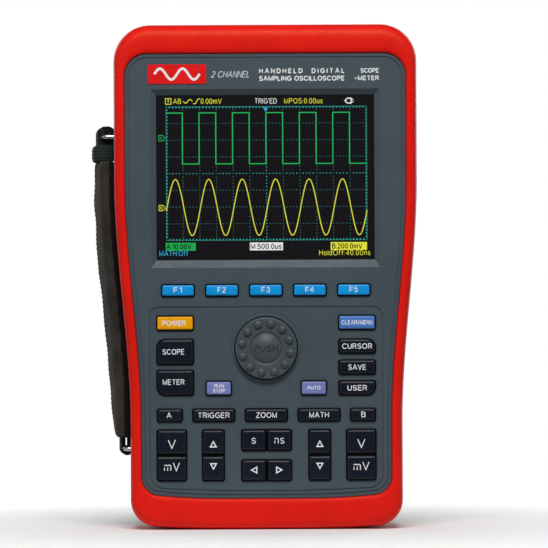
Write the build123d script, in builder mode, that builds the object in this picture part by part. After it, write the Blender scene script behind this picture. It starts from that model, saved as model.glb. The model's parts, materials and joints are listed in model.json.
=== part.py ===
from build123d import *
import os

# A handheld two-channel digital oscilloscope with a multimeter input, standing on its lower end.
# Frame: +Z runs up the body, +X is to the right seen from the front, and the screen faces -Y.
# The origin is on the flat of the base, at the middle of the body's width and of its rubber rim's
# depth. All sizes are in millimetres.
#
# The body is two shells, front_case and rear_case, that meet on the plane y = PARTING, inside one
# stretched rubber_bumper. The front case carries the window, the keys and the dial. The rear case
# carries the battery bay, the tilt stand, the measuring sockets on top and the ports on the right.

# ---------------------------------------------------------------- driving dimensions

HEIGHT = 268.0          # overall, base to top
HALF_TOP = 80.5         # half width above the shoulders
HALF_BASE = 72.3        # half width below the waist
WAIST_Z = 56.0          # the sides start to widen here
SHOULDER_Z = 186.0      # and are full width here
BASE_FLAT = 22.0        # half length of the flat that the body stands on
BASE_RISE = 2.7         # the base curves up by this much at its corners
TOP_RADIUS = 19.5
BASE_RADIUS = 14.0

RIM = 28.0              # the rubber rim's crest, in front of and behind y = 0
RIM_ROUND = 5.5         # round on the rim's outer edges
PANEL = 26.5            # the front panel's face and the back's face
SHOULDER = 23.5         # the shells' faces under the rubber lips
PARTING = 0.0
RUBBER = 3.0            # thickness of the bumper's side walls
WALL = 2.5              # thickness of both shells
THIN_WALL = 2.0         # thickness of the bays' side walls
FIT = 0.05              # gap round a fixed fit
SNUG = 0.02             # gap round a pressed fit
BIG = 40.0              # a cut that runs right out of the body
NEAR = 0.01             # two coordinates this close are the same
OVERLAP = 0.5           # how far an added boss or wall runs into the wall it joins
PANEL_ROUND = 0.6       # round on the edges of the panel and the back
GROOVE_IN, GROOVE, GROOVE_DEPTH = 1.9, 0.5, 0.4   # the fine grooves in the panel

PANEL_MARGIN = (5.9, 15.4, 16.5, 12.0, 10.0)   # side, top, bottom, top radius, bottom radius
BACK_MARGIN = (7.0, 12.0, 8.5, 12.0, 9.0)

BOSS_R, PILOT_R, SCREW_R = 3.6, 1.5, 1.45
PILOT_SPARE = 2.0       # the pilot holes run this far past the screws
SCREW_CLEAR = 0.2       # round the screws, where they pass through the rear shell
BOARD_GAP = 0.8         # between a boss and the main board
REAR_BOSS_R, REAR_BOSS_DEPTH, WELL_R = 4.6, 3.5, 3.1
HEAD_R, HEAD, CROSS_DEPTH = 2.75, 2.2, 1.4
CROSS, CROSS_SLOT = 3.2, 0.8   # the cross recess in a screw's head
SEAL_IN, SEAL_W, SEAL_DEPTH = 0.8, 0.9, 1.2   # the seal between the shells
SCREW_SEAT = 7.0        # the screw heads bear on this y
SCREW_LENGTH = 17.0
UPPER_BOSSES = [(-68, 245), (68, 245), (-65, 130), (65, 130)]
BASE_BOSSES = [(-54, 15), (54, 15)]

SCREEN_Z = 186.8        # middle of the screen
SCREEN_W, SCREEN_H = 115.8, 87.6
BEZEL_W, BEZEL_H, BEZEL_DROP = 121.6, 94.8, 0.5
BEZEL_DEPTH = 2.1
WINDOW_W, WINDOW_H, WINDOW_R, WINDOW = 125.0, 97.0, 2.0, 1.5
LCD_W, LCD_H, LCD_RIM, LCD_TRAY = 132.0, 96.0, 3.0, 1.5   # the display's frame
LCD_BACK, LCD_THICK, LCD_GAP = -12.8, 7.4, 0.2

KEY_PROUD = 1.7         # key faces stand this far off the panel
KEY_TRAVEL = 1.1
KEY_GAP = 0.25          # between a key and its hole
KEY_RADIUS = 1.2
KEY_BIG_RADIUS = 4.6
KEY_EDGE = 0.5
FLANGE = 0.9            # a key's flange, how far out and how thick
FLANGE_GAP = 0.1        # between the flange and the panel's inner face
ROCKER_GAP = 0.35
ROCKER_FLANGE_GAP = 0.7
ROCKER_SPLIT = 1.0      # width of the groove between a rocker's halves
ROCKER_SPLIT_DEPTH = 0.7

DIAL_Z = 96.3
DIAL_R = 16.6
DIAL_LIP_IN, DIAL_LIP_OUT, DIAL_LIP = 17.0, 18.3, 0.8
DIAL_LIP_ROUND = 0.5
DIAL_WELL = 1.0
DIAL_FACE = 30.3        # the dial's flat face, in front of y = 0
DIAL_ROUND = 1.0        # round on its outer edge
DIAL_CREST = 32.0       # its domed middle
DIAL_TRAVEL = 0.8
DOME_R = 8.1
BUMP_RING, BUMP_R, BUMP_COUNT, BUMP_START = 13.15, 2.05, 12, 79
BUMP_PROUD, BUMP_ROUND = 0.8, 0.7
SHAFT_R, SHAFT_BORE, SHAFT_HOLE_GAP = 3.0, 2.6, 0.4
SHAFT_BACK, SHAFT_LENGTH = -14.5, 14.4
PLUNGER_R, PLUNGER_BACK, PLUNGER = 4.3, -12.95, 1.5
ENCODER_HALF, ENCODER_FRONT, ENCODER_BACK = 6.5, -18.75, -10.75
NECK_R, NECK = 4.5, 3.4
CHAMBER_BACK, CHAMBER = -11.75, 4.2   # the room in which the plunger moves

KEYPAD_HALF, KEYPAD_LOW, KEYPAD_HIGH = 62.0, 20.4, 118.4
KEYPAD_BOW = 1.8        # its lower edge is lower by this in the middle
KEYPAD_TOP_R, KEYPAD_BASE_R = 5.5, 8.0

BADGE_X, BADGE_Z = -46.6, 241.7
BADGE_W, BADGE_H, BADGE_R, BADGE = 30.9, 10.3, 0.6, 0.4

BAY_HALF, BAY_LOW, BAY_HIGH, BAY_FLOOR = 60.0, 3.5, 21.5, 251.0   # the socket bay on top
SOCKET_Y = 12.5
BNC_X = 40.0
BNC_BARREL_R, BNC_BORE_R, BNC_FLANGE_R, BNC_SHANK_R = 4.8, 4.05, 7.4, 5.5
BNC_FLANGE, BNC_BARREL, BNC_SHANK, BNC_SOLID = 2.0, 14.0, 11.0, 5.0
STUD_R, STUD_HALF, STUD_UP = 1.0, 5.6, 9.4   # the bayonet studs
CORE_R, CORE_BORE_R, CORE = 2.4, 1.15, 8.2   # the white insulator
PIN_R, PIN_BORE_R, PIN, PIN_SOLID = 1.1, 0.6, 8.0, 3.0
METER_X = 19.05 / 2     # the standard spacing of a pair of 4 mm sockets, halved
METER_R, METER_BORE_R, METER_FLANGE_R, METER_FLANGE = 6.2, 4.4, 8.2, 1.6
METER_TOP, METER_LENGTH, METER_DEPTH = BAY_FLOOR + 13, 27.0, 24.0
SLEEVE_R, SLEEVE_BORE_R, SLEEVE_FLOOR, SLEEVE_SHORT = 2.7, 2.0, 3.0, 1.0

STAND_HALF, STAND_LOW = 41.5, 118.0
STAND_AXIS = (23.8, 229.0)   # y and z of its hinge
STAND_FRONT, STAND_BACK = 22.0, 25.6
STAND_CORNER, STAND_BARREL_R = 6.0, 2.6
STAND_POCKET_Z, STAND_POCKET_W, STAND_POCKET_H = 172.0, 62.0, 84.0
STAND_POCKET_R, STAND_POCKET = 5.0, 1.4
STAND_PIN_R, STAND_PIN_GAP, STAND_PIN_OUT = 1.2, 0.08, 6.0
RECESS_TOP, RECESS_GAP, RECESS_R = 233.5, 1.0, 2.0
SCOOP_W, SCOOP_H = 26.0, 12.0

PACK_HALF, PACK_LOW, PACK_HIGH = 37.5, 28.0, 95.0   # the battery pack
DOOR_HALF, DOOR_LOW, DOOR_HIGH = 42.0, 17.0, 99.0
PACK_Y, PACK_DEPTH, PACK_GAP, BAY_FRONT = 14.2, 18.8, 0.8, 4.5
DOOR_THICK, DOOR_R, DOOR_GAP, DOOR_ROUND = 2.3, 4.0, 0.2, 0.4
DOOR_SCREWS = [(-30, 21.3), (30, 21.3)]
DOOR_PILOT_R, DOOR_HOLE_R, DOOR_SINK_R, DOOR_SINK = 1.25, 1.35, 2.5, 1.3
DOOR_SCREW_R, DOOR_SCREW, DOOR_HEAD_R, DOOR_HEAD = 1.2, 8.0, 2.3, 1.1

PORT_LOW, PORT_HIGH, PORT_BOTTOM, PORT_TOP = 3.0, 19.0, 191.0, 223.0   # window in the bumper
DC_Z, USB_Z, PORT_Y = 214.5, 200.5, 11.0
DC_HALF, DC_NOSE_R, DC_BORE_R, DC_PIN_R, DC_DEPTH = 5.0, 4.3, 3.0, 1.05, 10.0
USB_HALF_Y, USB_HALF_Z, USB_DEPTH = 6.0, 5.5, 9.0
USB_MOUTH, USB_TONGUE = (8.5, 7.8), (5.7, 3.2)
JACK_LENGTH = 16.4      # how far the jacks reach in behind the wall

STRAP_Y = 2.0           # middle of the hand strap's width
WEB_HALF, WEB = 10.0, 1.4
BAIL_R, BAIL_HALF = 1.3, 12.0
BAIL_TOP_Z, BAIL_BASE_Z = 209.0, 42.6
BAIL_TOP_X, BAIL_BASE_X = -86.6, -75.6
BAIL_BEND = 2.2
PAD_WIDTH, PAD_THICK = 36.0, 6.6

os.makedirs("parts", exist_ok=True)


def keep(part, label):
    """Names a finished part and writes it as its own STEP file."""
    part.label = label
    export_step(part, f"parts/{label}.step")


def at(y):
    """The plane y = constant: sketches on it have x to the right and y up the body, and a
    positive extrusion goes towards the screen side."""
    return Plane.XZ.offset(-y)


def outline(side, top, bottom, top_radius, base_radius):
    """The body's outline, drawn in by a margin at its sides, top and base."""
    half_top, half_base = HALF_TOP - side, HALF_BASE - side
    high, rise = HEIGHT - top, bottom + BASE_RISE
    with BuildSketch() as drawn:
        with BuildLine():
            TangentArc((BASE_FLAT, bottom), (half_base, rise), tangent=(1, 0))
            Line((half_base, rise), (half_base, WAIST_Z))
            Spline((half_base, WAIST_Z), (half_top, SHOULDER_Z), tangents=((0, 1), (0, 1)))
            Line((half_top, SHOULDER_Z), (half_top, high))
            mirror(about=Plane.YZ)
            Line((-half_top, high), (half_top, high))
            Line((-BASE_FLAT, bottom), (BASE_FLAT, bottom))
        make_face()
        fillet(drawn.vertices().filter_by(lambda v: abs(v.Y - high) < NEAR), top_radius)
        fillet(drawn.vertices().filter_by(lambda v: abs(v.Y - rise) < NEAR), base_radius)
    return drawn.sketch


def inset(margin):
    """The body's outline drawn in by the same margin all round."""
    return outline(margin, margin, margin, TOP_RADIUS - margin, BASE_RADIUS - margin)


def drawn_in(margins, more):
    """One of the margin sets above, drawn in further by more."""
    side, top, bottom, top_radius, base_radius = margins
    return outline(side + more, top + more, bottom + more, top_radius - more, base_radius - more)


def box_between(low, high, mode=Mode.ADD):
    """A box between two corners, in the current part."""
    size = [b - a for a, b in zip(low, high)]
    middle = [(a + b) / 2 for a, b in zip(low, high)]
    with Locations(tuple(middle)):
        return Box(*size, mode=mode)


case_outline = inset(RUBBER)
cavity_outline = inset(RUBBER + WALL)
panel_outline = drawn_in(PANEL_MARGIN, 0)
back_outline = drawn_in(BACK_MARGIN, 0)

# ---------------------------------------------------------------- the key layout

COLUMN_X = 48.2         # the side columns of keys
ROW_X, ROW_PITCH = 51.2, 23.3
KEY_W, KEY_H = 19.8, 7.8

# name: (x, z, width, height, the corner with the big radius or None)
KEYS = {f"key_f{i + 1}": (ROW_PITCH * (i - 2), 127.0, 17.7, 6.5, None) for i in range(5)}
KEYS |= {
    "key_power": (-COLUMN_X, 109.7, KEY_W, KEY_H, None),
    "key_scope": (-COLUMN_X, 94.5, KEY_W, 13.5, (-1, 1)),
    "key_meter": (-COLUMN_X, 78.1, KEY_W, 13.5, (-1, -1)),
    "key_clear_menu": (COLUMN_X, 109.7, KEY_W, KEY_H, None),
    "key_cursor": (COLUMN_X, 97.1, KEY_W, KEY_H, (1, 1)),
    "key_save": (COLUMN_X, 86.0, KEY_W, KEY_H, None),
    "key_user": (COLUMN_X, 75.0, KEY_W, KEY_H, (1, -1)),
    "key_run_stop": (-25.2, 75.1, 13.8, 7.7, None),
    "key_auto": (25.2, 75.1, 13.8, 7.7, None),
    "key_channel_a": (-ROW_X, 60.8, 13.6, 6.9, None),
    "key_trigger": (-27.9, 60.8, 22.7, 6.9, None),
    "key_zoom": (0.0, 60.8, 22.7, 6.9, None),
    "key_math": (27.9, 60.8, 22.7, 6.9, None),
    "key_channel_b": (ROW_X, 60.8, 13.6, 6.9, None),
}

# name: (x, z, width, height); a rocker tilts about the middle of its longer side
ROCKERS = {
    "rocker_volts_a": (-50.2, 39.6, 15.8, 27.0),
    "rocker_position_a": (-28.2, 39.6, 11.8, 27.0),
    "rocker_timebase": (0.0, 47.5, 26.7, 11.2),
    "rocker_shift": (0.0, 31.5, 26.7, 11.2),
    "rocker_position_b": (28.2, 39.6, 11.8, 27.0),
    "rocker_volts_b": (50.2, 39.6, 15.8, 27.0),
}


def key_outline(width, height, big_corner=None, grow=0.0):
    """A key's outline about its own middle, grown by a margin. One corner may be rounder."""
    with BuildSketch() as drawn:
        half_width, half_height = width / 2 + grow, height / 2 + grow
        Rectangle(2 * half_width, 2 * half_height)
        if big_corner:
            corner = (big_corner[0] * half_width, big_corner[1] * half_height)
            fillet(drawn.vertices().sort_by_distance(corner)[0], KEY_BIG_RADIUS + grow)
        sharp = drawn.vertices().filter_by(
            lambda v: abs(abs(v.X) - half_width) < NEAR and abs(abs(v.Y) - half_height) < NEAR
        )
        fillet(sharp, KEY_RADIUS + grow)
    return drawn.sketch


def keypad_outline(grow):
    """The outline of the keypad area, with a bowed lower edge, grown by a margin."""
    half, low, high = KEYPAD_HALF + grow, KEYPAD_LOW - grow, KEYPAD_HIGH + grow
    side_low = low + KEYPAD_BOW
    with BuildSketch() as drawn:
        with BuildLine():
            ThreePointArc((-half, side_low), (0, low), (half, side_low))
            Polyline((half, side_low), (half, high), (-half, high), (-half, side_low))
        make_face()
        fillet(drawn.vertices().filter_by(lambda v: abs(v.Y - high) < NEAR), KEYPAD_TOP_R + grow)
        fillet(drawn.vertices().filter_by(lambda v: abs(v.Y - side_low) < NEAR), KEYPAD_BASE_R + grow)
    return drawn.sketch


# ---------------------------------------------------------------- keys

for name, (x, z, width, height, big) in KEYS.items():
    flange_front = -PANEL + WALL + FLANGE_GAP
    with BuildPart() as key:
        with BuildSketch(at(flange_front)):
            with Locations((x, z)):
                add(key_outline(width, height, big))
        extrude(amount=flange_front + PANEL + KEY_PROUD)
        fillet(key.faces().sort_by(Axis.Y)[0].edges(), KEY_EDGE)
        with BuildSketch(at(flange_front + FLANGE)):
            with Locations((x, z)):
                add(key_outline(width, height, big, FLANGE))
        extrude(amount=FLANGE)
    keep(key.part, name)

for name, (x, z, width, height) in ROCKERS.items():
    flange_front = -PANEL + WALL + ROCKER_FLANGE_GAP
    face = PANEL + KEY_PROUD
    groove = (ROCKER_SPLIT, height + 2) if width > height else (width + 2, ROCKER_SPLIT)
    with BuildPart() as rocker:
        with BuildSketch(at(flange_front)):
            with Locations((x, z)):
                add(key_outline(width, height))
        extrude(amount=flange_front + face)
        fillet(rocker.faces().sort_by(Axis.Y)[0].edges(), KEY_EDGE)
        with BuildSketch(at(-face + ROCKER_SPLIT_DEPTH)):
            with Locations((x, z)):
                Rectangle(*groove)
        extrude(amount=ROCKER_SPLIT_DEPTH, mode=Mode.SUBTRACT)
        with BuildSketch(at(flange_front + FLANGE)):
            with Locations((x, z)):
                add(key_outline(width, height, None, FLANGE))
        extrude(amount=FLANGE)
    keep(rocker.part, name)

# ---------------------------------------------------------------- dial and its encoder

dial_axis = Axis((0, 0, DIAL_Z), (0, 1, 0))
with BuildPart() as dial_knob:
    with BuildSketch(Plane.YZ) as profile:
        with BuildLine():
            Polyline(
                (-DIAL_CREST, DIAL_Z), (-PANEL, DIAL_Z), (-PANEL, DIAL_Z + DIAL_R),
                (-DIAL_FACE, DIAL_Z + DIAL_R), (-DIAL_FACE, DIAL_Z + DOME_R),
            )
            TangentArc((-DIAL_CREST, DIAL_Z), (-DIAL_FACE, DIAL_Z + DOME_R), tangent=(0, 1))
        make_face()
        fillet(profile.vertices().sort_by_distance((-DIAL_FACE, DIAL_Z + DIAL_R))[0], DIAL_ROUND)
    revolve(axis=dial_axis)
    with BuildSketch(at(-DIAL_FACE)):
        with Locations((0, DIAL_Z)):
            with PolarLocations(BUMP_RING, BUMP_COUNT, start_angle=BUMP_START):
                Circle(BUMP_R)
    extrude(amount=BUMP_PROUD)
    bump_tops = dial_knob.faces().filter_by(Plane.XZ).group_by(Axis.Y)[0]
    fillet(bump_tops.edges(), BUMP_ROUND)
    with BuildSketch(at(-PANEL)):
        with Locations((0, DIAL_Z)):
            Circle(SHAFT_R + SNUG)
    extrude(amount=SHAFT_BORE, mode=Mode.SUBTRACT)
keep(dial_knob.part, "dial_knob")

with BuildPart() as encoder_shaft:
    with BuildSketch(at(SHAFT_BACK)):
        with Locations((0, DIAL_Z)):
            Circle(SHAFT_R)
    extrude(amount=SHAFT_LENGTH)
keep(encoder_shaft.part, "encoder_shaft")

with BuildPart() as encoder_plunger:
    with BuildSketch(at(PLUNGER_BACK)):
        with Locations((0, DIAL_Z)):
            Circle(PLUNGER_R)
    extrude(amount=PLUNGER)
keep(encoder_plunger.part, "encoder_plunger")

with BuildPart() as encoder_body:
    box_between(
        (-ENCODER_HALF, ENCODER_FRONT, DIAL_Z - ENCODER_HALF),
        (ENCODER_HALF, ENCODER_BACK, DIAL_Z + ENCODER_HALF),
    )
    with BuildSketch(at(ENCODER_FRONT)):
        with Locations((0, DIAL_Z)):
            Circle(NECK_R)
    extrude(amount=NECK)
    with BuildSketch(at(CHAMBER_BACK)):
        with Locations((0, DIAL_Z)):
            Circle(SHAFT_R + FIT)
    extrude(amount=BIG, mode=Mode.SUBTRACT)
    with BuildSketch(at(CHAMBER_BACK)):
        with Locations((0, DIAL_Z)):
            Circle(NECK_R)
    extrude(amount=CHAMBER, mode=Mode.SUBTRACT)
keep(encoder_body.part, "encoder_body")

# ---------------------------------------------------------------- front case

with BuildPart() as front_case:
    with BuildSketch(at(PARTING)):
        add(case_outline)
    extrude(amount=PARTING + SHOULDER)
    with BuildSketch(at(-SHOULDER)):
        add(panel_outline)
    extrude(amount=PANEL - SHOULDER)
    fillet(front_case.faces().sort_by(Axis.Y)[0].edges(), PANEL_ROUND)
    # Hollow behind the shoulder, and deeper behind the panel.
    with BuildSketch(at(PARTING)):
        add(cavity_outline)
    extrude(amount=PARTING + SHOULDER - WALL, mode=Mode.SUBTRACT)
    with BuildSketch(at(-SHOULDER + WALL)):
        add(drawn_in(PANEL_MARGIN, WALL))
    extrude(amount=PANEL - SHOULDER, mode=Mode.SUBTRACT)
    # Screw bosses.
    with BuildSketch(at(PARTING)):
        with Locations(*UPPER_BOSSES):
            Circle(BOSS_R)
    extrude(amount=PANEL - WALL + OVERLAP)
    with BuildSketch(at(PARTING)):
        with Locations(*BASE_BOSSES):
            Circle(BOSS_R)
    extrude(amount=SHOULDER - WALL + OVERLAP)
    with BuildSketch(at(PARTING)):
        with Locations(*UPPER_BOSSES, *BASE_BOSSES):
            Circle(PILOT_R)
    extrude(amount=SCREW_LENGTH - SCREW_SEAT + PILOT_SPARE, mode=Mode.SUBTRACT)
    # The bevelled frame of the screen.
    with BuildSketch(at(-PANEL)):
        with Locations((0, SCREEN_Z - BEZEL_DROP)):
            Rectangle(BEZEL_W, BEZEL_H)
    with BuildSketch(at(-PANEL + BEZEL_DEPTH)):
        with Locations((0, SCREEN_Z)):
            Rectangle(SCREEN_W, SCREEN_H)
    loft(mode=Mode.SUBTRACT)
    with BuildSketch(at(-PANEL + BEZEL_DEPTH)):
        with Locations((0, SCREEN_Z)):
            Rectangle(SCREEN_W, SCREEN_H)
    extrude(amount=-WALL, mode=Mode.SUBTRACT)
    # The dial's raised lip, its well and the shaft's hole.
    with BuildSketch(at(-PANEL)):
        with Locations((0, DIAL_Z)):
            Circle(DIAL_LIP_OUT)
    extrude(amount=DIAL_LIP)
    fillet(front_case.faces().sort_by(Axis.Y)[0].edges(), DIAL_LIP_ROUND)
    with BuildSketch(at(-PANEL + DIAL_WELL)):
        with Locations((0, DIAL_Z)):
            Circle(DIAL_LIP_IN)
    extrude(amount=DIAL_WELL + DIAL_LIP, mode=Mode.SUBTRACT)
    with BuildSketch(at(-PANEL)):
        with Locations((0, DIAL_Z)):
            Circle(SHAFT_R + SHAFT_HOLE_GAP)
    extrude(amount=-2 * WALL, mode=Mode.SUBTRACT)
    # Holes for the keys and rockers.
    with BuildSketch(at(-PANEL)):
        for x, z, width, height, big in KEYS.values():
            with Locations((x, z)):
                add(key_outline(width, height, big, KEY_GAP))
        for x, z, width, height in ROCKERS.values():
            with Locations((x, z)):
                add(key_outline(width, height, None, ROCKER_GAP))
    extrude(amount=-2 * WALL, mode=Mode.SUBTRACT)
    # A fine groove round the panel, and one round the keypad.
    with BuildSketch(at(-PANEL + GROOVE_DEPTH)):
        add(drawn_in(PANEL_MARGIN, GROOVE_IN))
        add(drawn_in(PANEL_MARGIN, GROOVE_IN + GROOVE), mode=Mode.SUBTRACT)
    extrude(amount=GROOVE_DEPTH, mode=Mode.SUBTRACT)
    with BuildSketch(at(-PANEL + GROOVE_DEPTH)):
        add(keypad_outline(0))
        add(keypad_outline(-GROOVE), mode=Mode.SUBTRACT)
    extrude(amount=GROOVE_DEPTH, mode=Mode.SUBTRACT)
    # Holes for the hand strap's bails.
    for z in (BAIL_TOP_Z, BAIL_BASE_Z):
        with BuildSketch(Plane.YZ.offset(-HALF_TOP - 1)):
            with Locations((STRAP_Y - BAIL_HALF, z)):
                Circle(BAIL_R + FIT)
        extrude(amount=BIG / 2, mode=Mode.SUBTRACT)
keep(front_case.part, "front_case")

# ---------------------------------------------------------------- rear case

with BuildPart() as rear_case:
    with BuildSketch(at(PARTING)):
        add(case_outline)
    extrude(amount=-SHOULDER)
    with BuildSketch(at(SHOULDER)):
        add(back_outline)
    extrude(amount=SHOULDER - PANEL)
    fillet(rear_case.faces().sort_by(Axis.Y)[-1].edges(), PANEL_ROUND)
    with BuildSketch(at(PARTING)):
        add(cavity_outline)
    extrude(amount=-SHOULDER + WALL, mode=Mode.SUBTRACT)
    with BuildSketch(at(SHOULDER - WALL)):
        add(drawn_in(BACK_MARGIN, WALL))
    extrude(amount=SHOULDER - PANEL, mode=Mode.SUBTRACT)
    # Walls of the battery bay, the stand's recess and the socket bay, added solid and then cut.
    inner_back = PANEL - WALL
    box_between(
        (-DOOR_HALF - THIN_WALL, BAY_FRONT - THIN_WALL, DOOR_LOW - WALL),
        (DOOR_HALF + THIN_WALL, inner_back, DOOR_HIGH + WALL),
    )
    box_between(
        (-STAND_HALF - STAND_PIN_OUT - RECESS_GAP, STAND_FRONT - RECESS_GAP - WALL, STAND_LOW - SCOOP_H),
        (STAND_HALF + STAND_PIN_OUT + RECESS_GAP, inner_back, RECESS_TOP + WALL),
    )
    box_between(
        (-BAY_HALF - THIN_WALL, BAY_LOW - THIN_WALL, BAY_FLOOR - WALL),
        (BAY_HALF + THIN_WALL, BAY_HIGH + THIN_WALL - OVERLAP, HEIGHT - RUBBER - RECESS_GAP),
    )
    # Rear bosses, with wells for the screw heads.
    with BuildSketch(at(PARTING)):
        with Locations(*UPPER_BOSSES, *BASE_BOSSES):
            Circle(REAR_BOSS_R)
    extrude(amount=-SHOULDER + WALL - OVERLAP)
    with BuildSketch(at(SHOULDER - WALL)):
        with Locations(*UPPER_BOSSES):
            Circle(REAR_BOSS_R)
    extrude(amount=-REAR_BOSS_DEPTH)
    with BuildSketch(at(PARTING)):
        with Locations(*UPPER_BOSSES, *BASE_BOSSES):
            Circle(PILOT_R + SCREW_CLEAR)
    extrude(amount=-BIG, mode=Mode.SUBTRACT)
    with BuildSketch(at(SCREW_SEAT)):
        with Locations(*UPPER_BOSSES, *BASE_BOSSES):
            Circle(WELL_R)
    extrude(amount=-BIG, mode=Mode.SUBTRACT)
    # Battery bay, with a rebate for its door.
    box_between(
        (-PACK_HALF - PACK_GAP, BAY_FRONT, PACK_LOW - PACK_GAP),
        (PACK_HALF + PACK_GAP, BIG, PACK_HIGH + PACK_GAP), mode=Mode.SUBTRACT,
    )
    with BuildSketch(at(PANEL - DOOR_THICK - 2 * FIT)):
        with Locations((0, (DOOR_LOW + DOOR_HIGH) / 2)):
            RectangleRounded(
                2 * (DOOR_HALF + DOOR_GAP), DOOR_HIGH - DOOR_LOW + 2 * DOOR_GAP, DOOR_R + DOOR_GAP
            )
    extrude(amount=-BIG, mode=Mode.SUBTRACT)
    with BuildSketch(at(PANEL)):
        with Locations(*DOOR_SCREWS):
            Circle(DOOR_PILOT_R)
    extrude(amount=DOOR_SCREW + PILOT_SPARE, mode=Mode.SUBTRACT)
    # The stand's recess, its pin holes and a scoop for a finger below it.
    recess_low = STAND_LOW - RECESS_GAP
    with BuildSketch(at(STAND_FRONT - RECESS_GAP)):
        with Locations((0, (recess_low + RECESS_TOP) / 2)):
            RectangleRounded(2 * (STAND_HALF + RECESS_GAP), RECESS_TOP - recess_low, RECESS_R)
    extrude(amount=-BIG, mode=Mode.SUBTRACT)
    with BuildSketch(Plane.YZ.offset(-STAND_HALF - STAND_PIN_OUT - PILOT_SPARE)):
        with Locations(STAND_AXIS):
            Circle(STAND_PIN_R + SNUG)
    extrude(amount=2 * (STAND_HALF + STAND_PIN_OUT + PILOT_SPARE), mode=Mode.SUBTRACT)
    with BuildSketch(at(STAND_FRONT)):
        with Locations((0, recess_low)):
            SlotOverall(SCOOP_W, SCOOP_H)
    extrude(amount=-BIG, mode=Mode.SUBTRACT)
    # The socket bay and its floor's holes.
    box_between((-BAY_HALF, BAY_LOW, BAY_FLOOR), (BAY_HALF, BAY_HIGH, HEIGHT + 2),
                mode=Mode.SUBTRACT)
    with BuildSketch(Plane.XY.offset(BAY_FLOOR)):
        with Locations((-BNC_X, SOCKET_Y), (BNC_X, SOCKET_Y)):
            Circle(BNC_SHANK_R + 2 * FIT)
        with Locations((-METER_X, SOCKET_Y), (METER_X, SOCKET_Y)):
            Circle(METER_R + FIT)
    extrude(amount=-2 * WALL, mode=Mode.SUBTRACT)
    # Ports in the right-hand wall.
    with BuildSketch(Plane.YZ.offset(HALF_TOP - RUBBER - 2 * WALL)):
        with Locations((PORT_Y, DC_Z)):
            Circle(DC_NOSE_R + 2 * FIT)
        with Locations((PORT_Y, USB_Z)):
            Rectangle(2 * (USB_HALF_Y + 2 * FIT), 2 * (USB_HALF_Z + 2 * FIT))
    extrude(amount=3 * WALL, mode=Mode.SUBTRACT)
    # A groove for the seal, and holes for the bails.
    with BuildSketch(at(PARTING)):
        add(inset(RUBBER + SEAL_IN - FIT))
        add(inset(RUBBER + SEAL_IN + SEAL_W + FIT), mode=Mode.SUBTRACT)
    extrude(amount=-SEAL_DEPTH - FIT, mode=Mode.SUBTRACT)
    for z in (BAIL_TOP_Z, BAIL_BASE_Z):
        with BuildSketch(Plane.YZ.offset(-HALF_TOP - 1)):
            with Locations((STRAP_Y + BAIL_HALF, z)):
                Circle(BAIL_R + FIT)
        extrude(amount=BIG / 2, mode=Mode.SUBTRACT)
keep(rear_case.part, "rear_case")

with BuildPart() as case_seal:
    with BuildSketch(at(PARTING)):
        add(inset(RUBBER + SEAL_IN))
        add(inset(RUBBER + SEAL_IN + SEAL_W), mode=Mode.SUBTRACT)
    extrude(amount=-SEAL_DEPTH)
keep(case_seal.part, "case_seal")

# ---------------------------------------------------------------- rubber bumper

with BuildPart() as rubber_bumper:
    with BuildSketch(at(RIM)):
        add(inset(0))
    extrude(amount=2 * RIM)
    fillet(rubber_bumper.faces().sort_by(Axis.Y)[0].edges(), RIM_ROUND)
    fillet(rubber_bumper.faces().sort_by(Axis.Y)[-1].edges(), RIM_ROUND)
    with BuildSketch(at(SHOULDER + FIT)):
        add(inset(RUBBER - FIT))
    extrude(amount=2 * (SHOULDER + FIT), mode=Mode.SUBTRACT)
    with BuildSketch(at(-SHOULDER)):
        add(drawn_in(PANEL_MARGIN, -FIT))
    extrude(amount=BIG, mode=Mode.SUBTRACT)
    with BuildSketch(at(SHOULDER)):
        add(drawn_in(BACK_MARGIN, -FIT))
    extrude(amount=-BIG, mode=Mode.SUBTRACT)
    box_between((-BAY_HALF, BAY_LOW, HEIGHT - 10), (BAY_HALF, BAY_HIGH, HEIGHT + 2),
                mode=Mode.SUBTRACT)
    box_between((HALF_TOP - 6, PORT_LOW, PORT_BOTTOM), (HALF_TOP + 2, PORT_HIGH, PORT_TOP),
                mode=Mode.SUBTRACT)
    for z in (BAIL_TOP_Z, BAIL_BASE_Z):
        with BuildSketch(Plane.YZ.offset(-HALF_TOP - 1)):
            with Locations((STRAP_Y - BAIL_HALF, z), (STRAP_Y + BAIL_HALF, z)):
                Circle(BAIL_R + FIT)
        extrude(amount=BIG / 2, mode=Mode.SUBTRACT)
keep(rubber_bumper.part, "rubber_bumper")

# ---------------------------------------------------------------- window and screen

window_back = -PANEL + WALL + WINDOW
with BuildPart() as screen_window:
    with BuildSketch(at(window_back)):
        with Locations((0, SCREEN_Z)):
            RectangleRounded(WINDOW_W, WINDOW_H, WINDOW_R)
    extrude(amount=WINDOW - FIT)
keep(screen_window.part, "screen_window")

with BuildPart() as lcd_frame:
    with BuildSketch(at(LCD_BACK)):
        with Locations((0, SCREEN_Z)):
            RectangleRounded(LCD_W + 2 * LCD_RIM, LCD_H + 2 * LCD_RIM, WINDOW_R)
    extrude(amount=LCD_BACK - window_back - 2 * FIT)
    with BuildSketch(at(LCD_BACK - LCD_TRAY)):
        with Locations((0, SCREEN_Z)):
            Rectangle(LCD_W, LCD_H)
    extrude(amount=BIG, mode=Mode.SUBTRACT)
keep(lcd_frame.part, "lcd_frame")

with BuildPart() as lcd_module:
    with BuildSketch(at(LCD_BACK - LCD_TRAY - 2 * FIT)):
        with Locations((0, SCREEN_Z)):
            Rectangle(LCD_W - 2 * LCD_GAP, LCD_H - 2 * LCD_GAP)
    extrude(amount=LCD_THICK)
keep(lcd_module.part, "lcd_module")

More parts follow.
